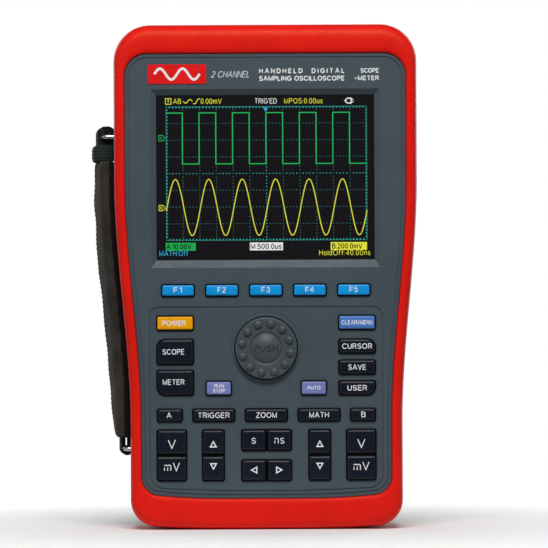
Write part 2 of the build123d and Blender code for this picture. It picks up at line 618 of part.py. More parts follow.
with BuildPart() as name_badge:
    with BuildSketch(at(-PANEL)):
        with Locations((BADGE_X, BADGE_Z)):
            RectangleRounded(BADGE_W, BADGE_H, BADGE_R)
    extrude(amount=BADGE)
keep(name_badge.part, "name_badge")

# ---------------------------------------------------------------- boards

MAT_HALF, MAT_LOW, MAT_HIGH, MAT_R = 61.0, 23.0, 133.2, 6.0
MAT, MAT_HOLE, KEY_BOARD = 1.4, 8.0, 1.6
mat_front = -PANEL + WALL + FLANGE_GAP + FLANGE + KEY_TRAVEL + 2 * FIT
for name, front, thick, hole in (
    ("keypad_mat", mat_front, MAT, MAT_HOLE),
    ("keypad_board", mat_front + MAT + FIT, KEY_BOARD, NECK_R + 2 * FIT),
):
    with BuildPart() as layer:
        with BuildSketch(at(front + thick)):
            with Locations((0, (MAT_LOW + MAT_HIGH) / 2)):
                RectangleRounded(2 * MAT_HALF, MAT_HIGH - MAT_LOW, MAT_R)
            with Locations((0, DIAL_Z)):
                Circle(hole, mode=Mode.SUBTRACT)
        extrude(amount=thick)
    keep(layer.part, name)

BOARD_FRONT, BOARD_BACK = -8.0, -6.4
BOARD_MARGIN = (9.0, 28.0, 24.0, 4.0, 6.0)   # side, top, bottom, top radius, bottom radius
with BuildPart() as main_board:
    with BuildSketch(at(BOARD_BACK)):
        add(drawn_in(BOARD_MARGIN, 0))
        with Locations(*UPPER_BOSSES):
            Circle(BOSS_R + BOARD_GAP, mode=Mode.SUBTRACT)
    extrude(amount=BOARD_BACK - BOARD_FRONT)
keep(main_board.part, "main_board")

CAN_HALF, CAN_LOW, CAN_HIGH, CAN_BACK, CAN_WALL, CAN_R = 48.0, 120.0, 232.0, 1.0, 0.5, 3.0
with BuildPart() as shield_can:
    box_between((-CAN_HALF, BOARD_BACK + FIT, CAN_LOW), (CAN_HALF, CAN_BACK, CAN_HIGH))
    fillet(shield_can.edges().filter_by(Axis.Y), CAN_R)
    box_between(
        (-CAN_HALF + CAN_WALL, BOARD_BACK, CAN_LOW + CAN_WALL),
        (CAN_HALF - CAN_WALL, CAN_BACK - CAN_WALL, CAN_HIGH - CAN_WALL), mode=Mode.SUBTRACT,
    )
keep(shield_can.part, "shield_can")

# ---------------------------------------------------------------- screws

with BuildPart() as case_screws:
    for x, z in UPPER_BOSSES + BASE_BOSSES:
        with BuildSketch(at(SCREW_SEAT)):
            with Locations((x, z)):
                Circle(SCREW_R)
        extrude(amount=SCREW_LENGTH)
        with BuildSketch(at(SCREW_SEAT + HEAD)):
            with Locations((x, z)):
                Circle(HEAD_R)
        extrude(amount=HEAD)
        with BuildSketch(at(SCREW_SEAT + HEAD)):
            with Locations((x, z)):
                Rectangle(CROSS, CROSS_SLOT)
                Rectangle(CROSS_SLOT, CROSS)
        extrude(amount=CROSS_DEPTH, mode=Mode.SUBTRACT)
keep(case_screws.part, "case_screws")

# ---------------------------------------------------------------- battery and its door

with BuildPart() as battery_pack:
    with BuildSketch(Plane.XY.offset(PACK_LOW)):
        with Locations((0, PACK_Y)):
            SlotOverall(2 * PACK_HALF, PACK_DEPTH)
    extrude(amount=PACK_HIGH - PACK_LOW)
keep(battery_pack.part, "battery_pack")

with BuildPart() as battery_door:
    with BuildSketch(at(PANEL)):
        with Locations((0, (DOOR_LOW + DOOR_HIGH) / 2)):
            RectangleRounded(2 * DOOR_HALF, DOOR_HIGH - DOOR_LOW, DOOR_R)
    extrude(amount=DOOR_THICK)
    fillet(battery_door.faces().sort_by(Axis.Y)[-1].edges(), DOOR_ROUND)
    with BuildSketch(at(PANEL)):
        with Locations(*DOOR_SCREWS):
            Circle(DOOR_HOLE_R)
    extrude(amount=DOOR_THICK, mode=Mode.SUBTRACT)
    with BuildSketch(at(PANEL)):
        with Locations(*DOOR_SCREWS):
            Circle(DOOR_SINK_R)
    extrude(amount=DOOR_SINK, mode=Mode.SUBTRACT)
keep(battery_door.part, "battery_door")

with BuildPart() as battery_screws:
    for x, z in DOOR_SCREWS:
        head_top = PANEL - DOOR_SINK + DOOR_HEAD
        with BuildSketch(at(PANEL - DOOR_SINK)):
            with Locations((x, z)):
                Circle(DOOR_SCREW_R)
        extrude(amount=DOOR_SCREW)
        with BuildSketch(at(head_top)):
            with Locations((x, z)):
                Circle(DOOR_HEAD_R)
        extrude(amount=DOOR_HEAD)
        with BuildSketch(at(head_top)):
            with Locations((x, z)):
                Rectangle(CROSS * DOOR_HEAD_R / HEAD_R, CROSS_SLOT * DOOR_HEAD_R / HEAD_R)
                Rectangle(CROSS_SLOT * DOOR_HEAD_R / HEAD_R, CROSS * DOOR_HEAD_R / HEAD_R)
        extrude(amount=CROSS_DEPTH / 2, mode=Mode.SUBTRACT)
keep(battery_screws.part, "battery_screws")

# ---------------------------------------------------------------- tilt stand

with BuildPart() as tilt_stand:
    with BuildSketch(at(STAND_BACK)):
        with Locations((0, (STAND_LOW + STAND_AXIS[1]) / 2)):
            Rectangle(2 * STAND_HALF, STAND_AXIS[1] - STAND_LOW)
    extrude(amount=STAND_BACK - STAND_FRONT)
    fillet(tilt_stand.edges().filter_by(Axis.Y).group_by(Axis.Z)[0], STAND_CORNER)
    # A shallow pocket in the back leaves a thick frame round a thin web.
    with BuildSketch(at(STAND_BACK)):
        with Locations((0, STAND_POCKET_Z)):
            RectangleRounded(STAND_POCKET_W, STAND_POCKET_H, STAND_POCKET_R)
    extrude(amount=STAND_POCKET, mode=Mode.SUBTRACT)
    with BuildSketch(Plane.YZ.offset(-STAND_HALF)):
        with Locations(STAND_AXIS):
            Circle(STAND_BARREL_R)
    extrude(amount=2 * STAND_HALF)
    with BuildSketch(Plane.YZ.offset(-STAND_HALF)):
        with Locations(STAND_AXIS):
            Circle(STAND_PIN_R + STAND_PIN_GAP)
    extrude(amount=2 * STAND_HALF, mode=Mode.SUBTRACT)
keep(tilt_stand.part, "tilt_stand")

with BuildPart() as stand_pin:
    with BuildSketch(Plane.YZ.offset(-STAND_HALF - STAND_PIN_OUT)):
        with Locations(STAND_AXIS):
            Circle(STAND_PIN_R)
    extrude(amount=2 * (STAND_HALF + STAND_PIN_OUT))
keep(stand_pin.part, "stand_pin")

# ---------------------------------------------------------------- measuring sockets on top

STANDING = (Align.CENTER, Align.CENTER, Align.MIN)
BNC_FLOOR = BAY_FLOOR + BNC_SOLID
BNC_PLACES = [(-BNC_X, SOCKET_Y), (BNC_X, SOCKET_Y)]

for (x, y), channel in zip(BNC_PLACES, "ab"):
    with BuildPart() as bnc:
        with Locations((x, y, BAY_FLOOR - BNC_SHANK)):
            Cylinder(BNC_SHANK_R, BNC_SHANK, align=STANDING)
        with Locations((x, y, BAY_FLOOR)):
            Cylinder(BNC_FLANGE_R, BNC_FLANGE, align=STANDING)
            Cylinder(BNC_BARREL_R, BNC_BARREL, align=STANDING)
        # Two bayonet studs across the barrel.
        with BuildSketch(Plane.YZ.offset(x - STUD_HALF)):
            with Locations((y, BAY_FLOOR + STUD_UP)):
                Circle(STUD_R)
        extrude(amount=2 * STUD_HALF)
        with Locations((x, y, BNC_FLOOR)):
            Cylinder(BNC_BORE_R, BNC_BARREL, align=STANDING, mode=Mode.SUBTRACT)
    keep(bnc.part, f"bnc_socket_{channel}")

with BuildPart() as bnc_insulators:
    with Locations(*[(x, y, BNC_FLOOR + FIT) for x, y in BNC_PLACES]):
        Cylinder(CORE_R, CORE, align=STANDING)
        Cylinder(CORE_BORE_R, BNC_BARREL, align=STANDING, mode=Mode.SUBTRACT)
keep(bnc_insulators.part, "bnc_insulators")

with BuildPart() as bnc_contacts:
    with Locations(*[(x, y, BNC_FLOOR + FIT) for x, y in BNC_PLACES]):
        Cylinder(PIN_R, PIN, align=STANDING)
    with Locations(*[(x, y, BNC_FLOOR + PIN_SOLID) for x, y in BNC_PLACES]):
        Cylinder(PIN_BORE_R, PIN, align=STANDING, mode=Mode.SUBTRACT)
keep(bnc_contacts.part, "bnc_contacts")

for side, name in ((-1, "meter_socket_common"), (1, "meter_socket_volts")):
    with BuildPart() as meter_socket:
        with Locations((side * METER_X, SOCKET_Y, METER_TOP - METER_LENGTH)):
            Cylinder(METER_R, METER_LENGTH, align=STANDING)
        with Locations((side * METER_X, SOCKET_Y, BAY_FLOOR)):
            Cylinder(METER_FLANGE_R, METER_FLANGE, align=STANDING)
        with Locations((side * METER_X, SOCKET_Y, METER_TOP - METER_DEPTH)):
            Cylinder(METER_BORE_R, METER_DEPTH, align=STANDING, mode=Mode.SUBTRACT)
    keep(meter_socket.part, name)

with BuildPart() as meter_sleeves:
    for side in (-1, 1):
        with Locations((side * METER_X, SOCKET_Y, METER_TOP - METER_DEPTH)):
            Cylinder(SLEEVE_R, METER_DEPTH - SLEEVE_SHORT, align=STANDING)
        with Locations((side * METER_X, SOCKET_Y, METER_TOP - METER_DEPTH + SLEEVE_FLOOR)):
            Cylinder(SLEEVE_BORE_R, METER_DEPTH, align=STANDING, mode=Mode.SUBTRACT)
keep(meter_sleeves.part, "meter_sleeves")

# ---------------------------------------------------------------- ports on the right

wall_inside = HALF_TOP - RUBBER - WALL
port_face = HALF_TOP - RUBBER - 2 * FIT
with BuildPart() as dc_jack:
    box_between(
        (port_face - JACK_LENGTH, PORT_Y - DC_HALF, DC_Z - DC_HALF),
        (wall_inside, PORT_Y + DC_HALF, DC_Z + DC_HALF),
    )
    with BuildSketch(Plane.YZ.offset(wall_inside)):
        with Locations((PORT_Y, DC_Z)):
            Circle(DC_NOSE_R)
    extrude(amount=port_face - wall_inside)
    with BuildSketch(Plane.YZ.offset(port_face - DC_DEPTH)):
        with Locations((PORT_Y, DC_Z)):
            Circle(DC_BORE_R)
            Circle(DC_PIN_R, mode=Mode.SUBTRACT)
    extrude(amount=DC_DEPTH, mode=Mode.SUBTRACT)
keep(dc_jack.part, "dc_jack")

with BuildPart() as usb_port:
    box_between(
        (port_face - JACK_LENGTH, PORT_Y - USB_HALF_Y, USB_Z - USB_HALF_Z),
        (port_face, PORT_Y + USB_HALF_Y, USB_Z + USB_HALF_Z),
    )
    with BuildSketch(Plane.YZ.offset(port_face - USB_DEPTH)):
        with Locations((PORT_Y, USB_Z)):
            Rectangle(*USB_MOUTH)
            Rectangle(*USB_TONGUE, mode=Mode.SUBTRACT)
    extrude(amount=USB_DEPTH, mode=Mode.SUBTRACT)
keep(usb_port.part, "usb_port")

# The cover hinges on its rear edge, so the front edge has room for the corner that swings past it.
COVER_GAP, COVER_FRONT_GAP, COVER_R = 0.2, 0.6, 3.0
RIDGE_IN, RIDGE_LENGTH, RIDGE_WIDTH, RIDGE = 2.6, 14.0, 1.6, 0.5
with BuildPart() as port_cover:
    box_between(
        (HALF_TOP - RUBBER + COVER_GAP, PORT_LOW + COVER_FRONT_GAP, PORT_BOTTOM + COVER_GAP),
        (HALF_TOP, PORT_HIGH - COVER_GAP, PORT_TOP - COVER_GAP),
    )
    fillet(port_cover.edges().filter_by(Axis.X).group_by(Axis.Y)[0], COVER_R)
    # A ridge for a fingernail along the edge that lifts.
    with BuildSketch(Plane.YZ.offset(HALF_TOP)):
        with Locations((PORT_LOW + RIDGE_IN, (PORT_BOTTOM + PORT_TOP) / 2)):
            SlotOverall(RIDGE_LENGTH, RIDGE_WIDTH, rotation=90)
    extrude(amount=RIDGE)
keep(port_cover.part, "port_cover")

# ---------------------------------------------------------------- hand strap on the left

CLIP_R, CLIP = 2.5, 1.1
BAILS = (
    (-HALF_TOP + RUBBER + WALL, BAIL_TOP_X, BAIL_TOP_Z),
    (-HALF_BASE + RUBBER + WALL, BAIL_BASE_X, BAIL_BASE_Z),
)
with BuildPart() as strap_bails:
    for inner_x, bar_x, z in BAILS:
        near, far = STRAP_Y - BAIL_HALF, STRAP_Y + BAIL_HALF
        end_x = inner_x + CLIP + SNUG
        with BuildLine(Plane.XY.offset(z)) as wire:
            FilletPolyline((end_x, near), (bar_x, near), (bar_x, far), (end_x, far), radius=BAIL_BEND)
        with BuildSketch(Plane(origin=wire.line @ 0, z_dir=wire.line % 0)):
            Circle(BAIL_R)
        sweep()
        # Push-on clips hold the wire's ends inside the shell walls.
        with BuildSketch(Plane.YZ.offset(inner_x + SNUG)):
            with Locations((near, z), (far, z)):
                Circle(CLIP_R)
        extrude(amount=CLIP)
keep(strap_bails.part, "strap_bails")

# Each loop's outer x, inner x, the z of its ends, the z of its turn round the bail, and its radius.
LOOPS = ((-89.1, -81.7, 202.0, 214.3, 3.2), (-78.0, -73.3, 48.4, 40.2, 2.2))
FOLD_X, FOLD_Z, FOLD_W, FOLD_H, FOLD_R, FOLD_HALF = -86.9, 200.2, 11.0, 8.8, 3.0, 12.0
with BuildPart() as strap_webbing:
    for outer_x, near_x, end_z, turn_z, radius in LOOPS:
        with BuildSketch(at(STRAP_Y + WEB_HALF)):
            with BuildLine():
                FilletPolyline(
                    (outer_x, end_z), (outer_x, turn_z), (near_x, turn_z), (near_x, end_z), radius=radius
                )
            trace(line_width=WEB)
        extrude(amount=2 * WEB_HALF)
    # The folded, hook-and-loop end, which the upper loop runs down into.
    with BuildSketch(at(STRAP_Y + FOLD_HALF)):
        with Locations((FOLD_X, FOLD_Z)):
            RectangleRounded(FOLD_W, FOLD_H, FOLD_R)
    extrude(amount=2 * FOLD_HALF)
keep(strap_webbing.part, "strap_webbing")

# The padded sleeve's z, its middle's x and its lean: its front edge lies along the body and its
# rear edge stands further out.
PAD_LINE = [
    (195.6, -86.1, 7.5), (172.0, -86.0, 8.0), (150.0, -84.9, 8.5), (128.0, -82.8, 8.4),
    (106.0, -80.6, 7.8), (78.0, -78.5, 7.2), (48.6, -76.9, 3.5),
]
with BuildPart() as strap_pad:
    for z, x, lean in PAD_LINE:
        with BuildSketch(Plane.XY.offset(z)):
            with Locations((x, STRAP_Y)):
                SlotOverall(PAD_WIDTH, PAD_THICK, rotation=90 + lean)
    loft(ruled=True)
keep(strap_pad.part, "strap_pad")
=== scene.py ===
import json
import math
import random

import bmesh
import bpy
from mathutils import Matrix, Vector
from mathutils.bvhtree import BVHTree


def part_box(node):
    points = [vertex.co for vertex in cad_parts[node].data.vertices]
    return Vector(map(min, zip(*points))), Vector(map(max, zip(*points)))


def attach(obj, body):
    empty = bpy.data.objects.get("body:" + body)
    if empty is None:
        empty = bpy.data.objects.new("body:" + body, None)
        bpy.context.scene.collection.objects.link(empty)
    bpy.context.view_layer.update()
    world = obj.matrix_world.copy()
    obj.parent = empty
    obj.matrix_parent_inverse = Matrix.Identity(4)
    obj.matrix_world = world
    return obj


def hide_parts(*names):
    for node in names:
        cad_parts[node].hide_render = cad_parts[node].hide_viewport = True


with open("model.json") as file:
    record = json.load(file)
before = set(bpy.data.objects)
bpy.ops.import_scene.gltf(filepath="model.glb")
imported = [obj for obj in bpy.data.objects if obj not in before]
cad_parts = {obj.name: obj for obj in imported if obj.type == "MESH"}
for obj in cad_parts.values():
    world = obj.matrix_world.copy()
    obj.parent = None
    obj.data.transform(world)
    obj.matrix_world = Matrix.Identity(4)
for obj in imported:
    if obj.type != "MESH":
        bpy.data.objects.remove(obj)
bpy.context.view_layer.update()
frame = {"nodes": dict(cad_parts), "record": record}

# A handheld two-channel oscilloscope in a red rubber bumper, standing on its base.
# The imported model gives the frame: +Z up, +X to the right, and the screen faces -Y.
# Sizes below are in millimetres, and MM turns them into metres where a mesh is made.

MM = 0.001
CASE = "case"

HEIGHT = 268.0
HALF_TOP, HALF_BASE = 80.5, 72.3        # half the body's width at its shoulders and at its base
WAIST_Z, SHOULDER_Z = 56.0, 186.0       # the sides swing out between these heights
BASE_FLAT, BASE_RISE = 22.0, 2.7        # half the base's flat, and how far the base rises at its corners
TOP_RADIUS, BASE_RADIUS = 19.5, 14.0
PANEL, SHOULDER, RUBBER = 26.5, 23.5, 3.0   # depths of the panel and the case's edge; the rubber's thickness
# The rubber's openings: how far in from the side, the top and the base, then the top and base corner radii.
PANEL_MARGIN = (5.9, 15.4, 16.5, 12.0, 10.0)
BACK_MARGIN = (7.0, 12.0, 8.5, 12.0, 9.0)


def box_mm(node):
    """A CAD node's lowest and highest corners, in millimetres."""
    low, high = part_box(node)
    return [v / MM for v in low], [v / MM for v in high]


def middle_and_size(node):
    """A CAD node's middle and size along X and Z, in millimetres."""
    low, high = box_mm(node)
    return (low[0] + high[0]) / 2, (low[2] + high[2]) / 2, high[0] - low[0], high[2] - low[2]


# ---------------------------------------------------------------- materials


class Surface:
    """A node material that is built up step by step round one Principled shader."""

    def __init__(self, name, colour, roughness=0.5, **inputs):
        self.material = bpy.data.materials.new(name)
        self.material.use_nodes = True
        self.material.diffuse_color = (*colour, 1)
        self.tree = self.material.node_tree
        self.shader = self.tree.nodes["Principled BSDF"]
        self.shader.inputs["Base Color"].default_value = (*colour, 1)
        self.shader.inputs["Roughness"].default_value = roughness
        for key, value in inputs.items():
            self.shader.inputs[key.replace("_", " ")].default_value = value
        self.colour = colour
        self.height = None

    def node(self, kind, **values):
        made = self.tree.nodes.new(kind)
        for key, value in values.items():
            if key in made.inputs:
                made.inputs[key].default_value = value
            else:
                setattr(made, key, value)
        return made

    def link(self, source, target):
        self.tree.links.new(source, target)

    def place(self, scale=(1, 1, 1)):
        """Object coordinates in millimetres, stretched by scale."""
        where = self.node("ShaderNodeTexCoord").outputs["Object"]
        mapping = self.node("ShaderNodeMapping")
        mapping.inputs["Scale"].default_value = tuple(s / MM for s in scale)
        self.link(where, mapping.inputs["Vector"])
        return mapping.outputs["Vector"]

    def noise(self, size, detail=3.0, scale=(1, 1, 1), rough=0.5):
        """Noise with features about size millimetres across."""
        made = self.node("ShaderNodeTexNoise")
        made.inputs["Scale"].default_value = 1.0 / size
        made.inputs["Detail"].default_value = detail
        made.inputs["Roughness"].default_value = rough
        self.link(self.place(scale), made.inputs["Vector"])
        return made.outputs["Fac"]

    def math(self, operation, a, b=None):
        made = self.node("ShaderNodeMath", operation=operation)
        for slot, value in enumerate((a, b)):
            if value is None:
                continue
            if isinstance(value, (int, float)):
                made.inputs[slot].default_value = value
            else:
                self.link(value, made.inputs[slot])
        return made.outputs["Value"]

    def spread(self, value, low, high, to_low=0.0, to_high=1.0):
        made = self.node("ShaderNodeMapRange")
        self.link(value, made.inputs["Value"])
        for key, number in zip(("From Min", "From Max", "To Min", "To Max"), (low, high, to_low, to_high)):
            made.inputs[key].default_value = number
        return made.outputs["Result"]

    def vary_colour(self, fac, other, low=0.3, high=0.7):
        """Mixes the base colour towards another where fac is high."""
        mix = self.node("ShaderNodeMix", data_type="RGBA")
        self.link(self.spread(fac, low, high), mix.inputs["Factor"])
        before = self.shader.inputs["Base Color"]
        if before.links:
            self.link(before.links[0].from_socket, mix.inputs[6])
        else:
            mix.inputs[6].default_value = (*self.colour, 1)
        mix.inputs[7].default_value = (*other, 1)
        self.link(mix.outputs[2], before)
        return self

    def vary_roughness(self, fac, low, high):
        self.link(self.spread(fac, 0.3, 0.7, low, high), self.shader.inputs["Roughness"])
        return self

    def bump(self, fac, depth, strength=1.0):
        """Raises the surface by depth millimetres where fac is high."""
        made = self.node("ShaderNodeBump")
        made.inputs["Distance"].default_value = depth * MM
        made.inputs["Strength"].default_value = strength
        self.link(fac, made.inputs["Height"])
        if self.height is not None:
            self.link(self.height, made.inputs["Normal"])
        self.height = made.outputs["Normal"]
        self.link(self.height, self.shader.inputs["Normal"])
        return self


def red_rubber():
    s = Surface("red_rubber", (0.76, 0.0105, 0.0068), 0.46, Specular_IOR_Level=0.22)
    s.shader.inputs["Specular Tint"].default_value = (1.0, 0.55, 0.30, 1)
    s.vary_colour(s.noise(24), (0.66, 0.009, 0.0062))
    s.vary_roughness(s.noise(3.5, 4), 0.38, 0.50)
    s.bump(s.noise(0.35, 2), 0.03, 0.5)
    s.bump(s.noise(14), 0.12, 0.3)
    return s.material


def moulded(name, colour, other, roughness=0.5, grain=0.4, depth=0.03, gloss=0.18):
    """Moulded plastic with a fine spark texture."""
    s = Surface(name, colour, roughness, Specular_IOR_Level=gloss)
    s.vary_colour(s.noise(30), other)
    s.vary_roughness(s.noise(4, 4), roughness - 0.06, roughness + 0.08)
    s.bump(s.noise(grain, 2), depth, 0.6)
    return s.material


def silicone(name, colour, roughness=0.33, gloss=0.22):
    """Silicone rubber with a lacquered face."""
    s = Surface(name, colour, roughness, Specular_IOR_Level=gloss)
    darker = tuple(c * 0.86 for c in colour)
    s.vary_colour(s.noise(5), darker)
    s.vary_roughness(s.noise(2.2, 3), roughness - 0.05, roughness + 0.07)
    s.bump(s.noise(0.5, 2), 0.012, 0.4)
    return s.material


def metal(name, colour, roughness, streak=(1, 1, 1)):
    s = Surface(name, colour, roughness, Metallic=1.0)
    s.vary_colour(s.noise(6), tuple(c * 0.85 for c in colour))
    s.vary_roughness(s.noise(0.8, 4, streak), roughness * 0.75, roughness * 1.35)
    s.bump(s.noise(0.3, 3, streak), 0.006, 0.4)
    return s.material


def window_glass():
    s = Surface("window_glass", (1, 1, 1), 0.03, Specular_IOR_Level=0.06, IOR=1.45)
    s.shader.inputs["Transmission Weight"].default_value = 1.0
    s.vary_roughness(s.noise(18, 4), 0.02, 0.05)
    return s.material


def black_print():
    s = Surface("black_print", (0.004, 0.004, 0.005), 0.3, Specular_IOR_Level=0.05)
    s.vary_roughness(s.noise(4), 0.26, 0.36)
    s.bump(s.noise(0.6), 0.004, 0.2)
    return s.material


def glowing(name, colour, strength, size=0.35):
    """A lit part of the display: its small pixels vary a little."""
    s = Surface(name, tuple(c * 0.03 for c in colour), 0.5, Specular_IOR_Level=0.0)
    s.shader.inputs["Emission Color"].default_value = (*colour, 1)
    flicker = s.spread(s.noise(size, 1), 0.3, 0.7, 0.82 * strength, 1.08 * strength)
    s.link(flicker, s.shader.inputs["Emission Strength"])
    return s.material


def ink(name, colour):
    """Screen-printed ink, a little uneven."""
    s = Surface(name, colour, 0.45, Specular_IOR_Level=0.1)
    s.vary_colour(s.noise(0.7, 2), tuple(c * 0.88 for c in colour))
    s.bump(s.noise(0.25), 0.01, 0.3)
    return s.material


def mesh_fabric():
    """Open-weave nylon over foam: two sets of diagonal cords, of which the rising ones stand out more, with a
    painted highlight on their crests.
    """
    s = Surface(
        "mesh_fabric", (0.016, 0.014, 0.012), 0.85,
        Specular_IOR_Level=0.1, Sheen_Weight=0.06, Sheen_Roughness=0.5,
    )
    split_xyz = s.node("ShaderNodeSeparateXYZ")
    s.link(s.place(), split_xyz.inputs["Vector"])
    across = s.math("SUBTRACT", split_xyz.outputs["X"], split_xyz.outputs["Y"])
    up = split_xyz.outputs["Z"]
    across = s.math("MULTIPLY", across, 2 * math.pi / 1.9)
    up = s.math("MULTIPLY", up, 2 * math.pi / 1.8)
    rising = s.math("SINE", s.math("ADD", up, across))
    falling = s.math("SINE", s.math("SUBTRACT", up, across))
    weave = s.math("MAXIMUM", rising, s.math("MULTIPLY", falling, 0.6))
    weave = s.spread(weave, -1, 1)
    # Lighter colour on the rising cords' crests: a painted highlight laid over the weave's pattern.
    s.vary_colour(weave, (0.085, 0.074, 0.060), 0.60, 1.0)
    s.vary_colour(s.noise(9), (0.018, 0.016, 0.0135), 0.45, 0.8)
    s.bump(weave, 0.35, 0.9)
    s.bump(s.noise(0.35, 3), 0.08, 0.5)
    return s.material


def webbing(name, colour):
    """Woven nylon tape with ribs across it and a fine fuzz."""
    s = Surface(name, colour, 0.8, Specular_IOR_Level=0.1, Sheen_Weight=0.05, Sheen_Roughness=0.5)
    split_xyz = s.node("ShaderNodeSeparateXYZ")
    s.link(s.place(), split_xyz.inputs["Vector"])
    ribs = s.math("SINE", s.math("MULTIPLY", split_xyz.outputs["Z"], 2 * math.pi / 1.1))
    cords = s.math("SINE", s.math("MULTIPLY", split_xyz.outputs["Y"], 2 * math.pi / 1.6))
    weave = s.spread(s.math("MULTIPLY", ribs, cords), -1, 1)
    s.vary_colour(weave, tuple(c * 2.0 for c in colour), 0.4, 1.0)
    s.bump(weave, 0.18, 0.8)
    s.bump(s.noise(0.3, 3), 0.06, 0.5)
    return s.material


def floor_paper():
    """Matt white paper that fades away at a distance from the origin, into the bright surround."""
    s = Surface("floor_paper", (0.88, 0.88, 0.88), 0.9, Specular_IOR_Level=0.1)
    s.vary_colour(s.noise(60), (0.865, 0.865, 0.87))
    s.bump(s.noise(0.8), 0.02, 0.1)
    reach = s.node("ShaderNodeVectorMath", operation="LENGTH")
    s.link(s.place((1, 1, 1)), reach.inputs[0])
    s.link(s.spread(reach.outputs["Value"], FADE_START, FLOOR_RADIUS, 1.0, 0.0), s.shader.inputs["Alpha"])
    return s.material


FADE_START, FLOOR_RADIUS = 70.0, 270.0      # the paper is solid to the first and gone at the second
RED = red_rubber()
PANEL_GREY = moulded("panel_grey", (0.062, 0.085, 0.101), (0.055, 0.076, 0.092), 0.46)
CASE_DARK = moulded("case_dark", (0.030, 0.034, 0.038), (0.024, 0.027, 0.031), 0.55, 0.7, 0.05)
DIAL_GREY = moulded("dial_grey", (0.064, 0.080, 0.090), (0.056, 0.070, 0.080), 0.42, 0.5, 0.012, 0.26)
STAND_DARK = moulded("stand_dark", (0.040, 0.045, 0.050), (0.033, 0.037, 0.042), 0.5, 0.7, 0.05)
KEY_SIDE = silicone("key_side", (0.0015, 0.0018, 0.003), 0.45, 0.05)
NAVY = silicone("key_navy", (0.0045, 0.0075, 0.0165), 0.30, 0.28)
AZURE = silicone("key_azure", (0.004, 0.32, 0.78), 0.32)
AMBER = silicone("key_amber", (0.90, 0.39, 0.002), 0.36, 0.10)
BLUE = silicone("key_blue", (0.075, 0.20, 0.56), 0.32)
LAVENDER = silicone("key_lavender", (0.19, 0.23, 0.52), 0.34)
SEAL_GREY = silicone("seal_grey", (0.20, 0.21, 0.22), 0.5)
STEEL = metal("steel", (0.60, 0.60, 0.60), 0.28)
SHEET_STEEL = metal("sheet_steel", (0.55, 0.56, 0.57), 0.38, (0.2, 1, 3))
NICKEL = metal("nickel", (0.66, 0.64, 0.60), 0.20, (1, 1, 4))
GOLD = metal("gold", (0.86, 0.60, 0.22), 0.22)
GLASS = window_glass()
PRINT_BLACK = black_print()
WHITE_INK = ink("white_ink", (0.86, 0.87, 0.88))
GREY_INK = ink("grey_ink", (0.60, 0.63, 0.66))
BADGE_RED = silicone("badge_red", (0.80, 0.012, 0.012), 0.22)
SOCKET_BLACK = moulded("socket_black", (0.012, 0.012, 0.013), (0.009, 0.009, 0.010), 0.35)
SOCKET_RED = moulded("socket_red", (0.50, 0.015, 0.012), (0.44, 0.012, 0.010), 0.35)
INSULATOR = moulded("insulator", (0.80, 0.79, 0.75), (0.74, 0.73, 0.69), 0.4)
BOARD = moulded("board", (0.010, 0.10, 0.045), (0.008, 0.08, 0.035), 0.35)
WRAP = moulded("wrap", (0.020, 0.022, 0.028), (0.016, 0.018, 0.022), 0.3)
FABRIC = mesh_fabric()
TAPE = webbing("nylon_tape", (0.012, 0.012, 0.012))
THREAD = ink("thread", (0.035, 0.033, 0.030))

NODE_MATERIALS = {
    "panel_grey": PANEL_GREY, "case_dark": CASE_DARK, "rubber_red": RED, "window": GLASS,
    "display": PRINT_BLACK, "sheet_steel": SHEET_STEEL, "silicone": SEAL_GREY,
    "circuit_board": BOARD, "steel": STEEL, "battery_wrap": WRAP, "badge_red": BADGE_RED,
    "nickel": NICKEL, "gold": GOLD, "white_plastic": INSULATOR, "socket_black": SOCKET_BLACK,
    "socket_red": SOCKET_RED, "strap_fabric": FABRIC, "strap_webbing": TAPE,
    "key_amber": AMBER, "key_blue": BLUE, "key_lavender": LAVENDER, "key_azure": AZURE,
    "key_navy": NAVY,
}


def dress_nodes():
    """Gives each CAD node the finished material of its slot."""
    slots = {part["node"]: part["material_slot"] for part in frame["record"]["subparts"]}
    for name, node in frame["nodes"].items():
        material = NODE_MATERIALS[slots[name]]
        if name == "tilt_stand":
            material = STAND_DARK
        node.data.materials.clear()
        node.data.materials.append(material)


dress_nodes()

# ---------------------------------------------------------------- mesh helpers


def new_mesh(name, points, faces, materials, body=CASE, chosen=None, smooth=True):
    """A mesh piece from points in millimetres. chosen gives each face's material number."""
    mesh = bpy.data.meshes.new(name)
    mesh.from_pydata([tuple(c * MM for c in p) for p in points], [], faces)
    for material in materials:
        mesh.materials.append(material)
    for number, polygon in enumerate(mesh.polygons):
        polygon.use_smooth = smooth
        if chosen:
            polygon.material_index = chosen[number]
    piece = bpy.data.objects.new(name, mesh)
    bpy.context.scene.collection.objects.link(piece)
    shell = bmesh.new()
    shell.from_mesh(mesh)
    bmesh.ops.recalc_face_normals(shell, faces=shell.faces)
    shell.to_mesh(mesh)
    shell.free()
    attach(piece, body)
    return piece


def bridge(loops, closed=True):
    """Faces between loops of the same length, each loop being a closed ring of points."""
    count = len(loops[0])
    points = [p for loop in loops for p in loop]
    faces = []
    rows = len(loops)
    for row in range(rows if closed else rows - 1):
        low, high = row * count, ((row + 1) % rows) * count
        for i in range(count):
            j = (i + 1) % count
            faces.append((low + i, low + j, high + j, high + i))
    return points, faces


def capped(loops):
    """A shell through loops of the same length, with a face over its last loop and its first."""
    points, faces = bridge(loops, closed=False)
    count = len(loops[0])
    faces.append(tuple(range(len(points) - count, len(points))))
    faces.append(tuple(reversed(range(count))))
    return points, faces


def apply_modifiers(piece):
    """Turns a piece's modifiers into plain mesh."""
    graph = bpy.context.evaluated_depsgraph_get()
    finished = bpy.data.meshes.new_from_object(piece.evaluated_get(graph))
    piece.modifiers.clear()
    piece.data = finished


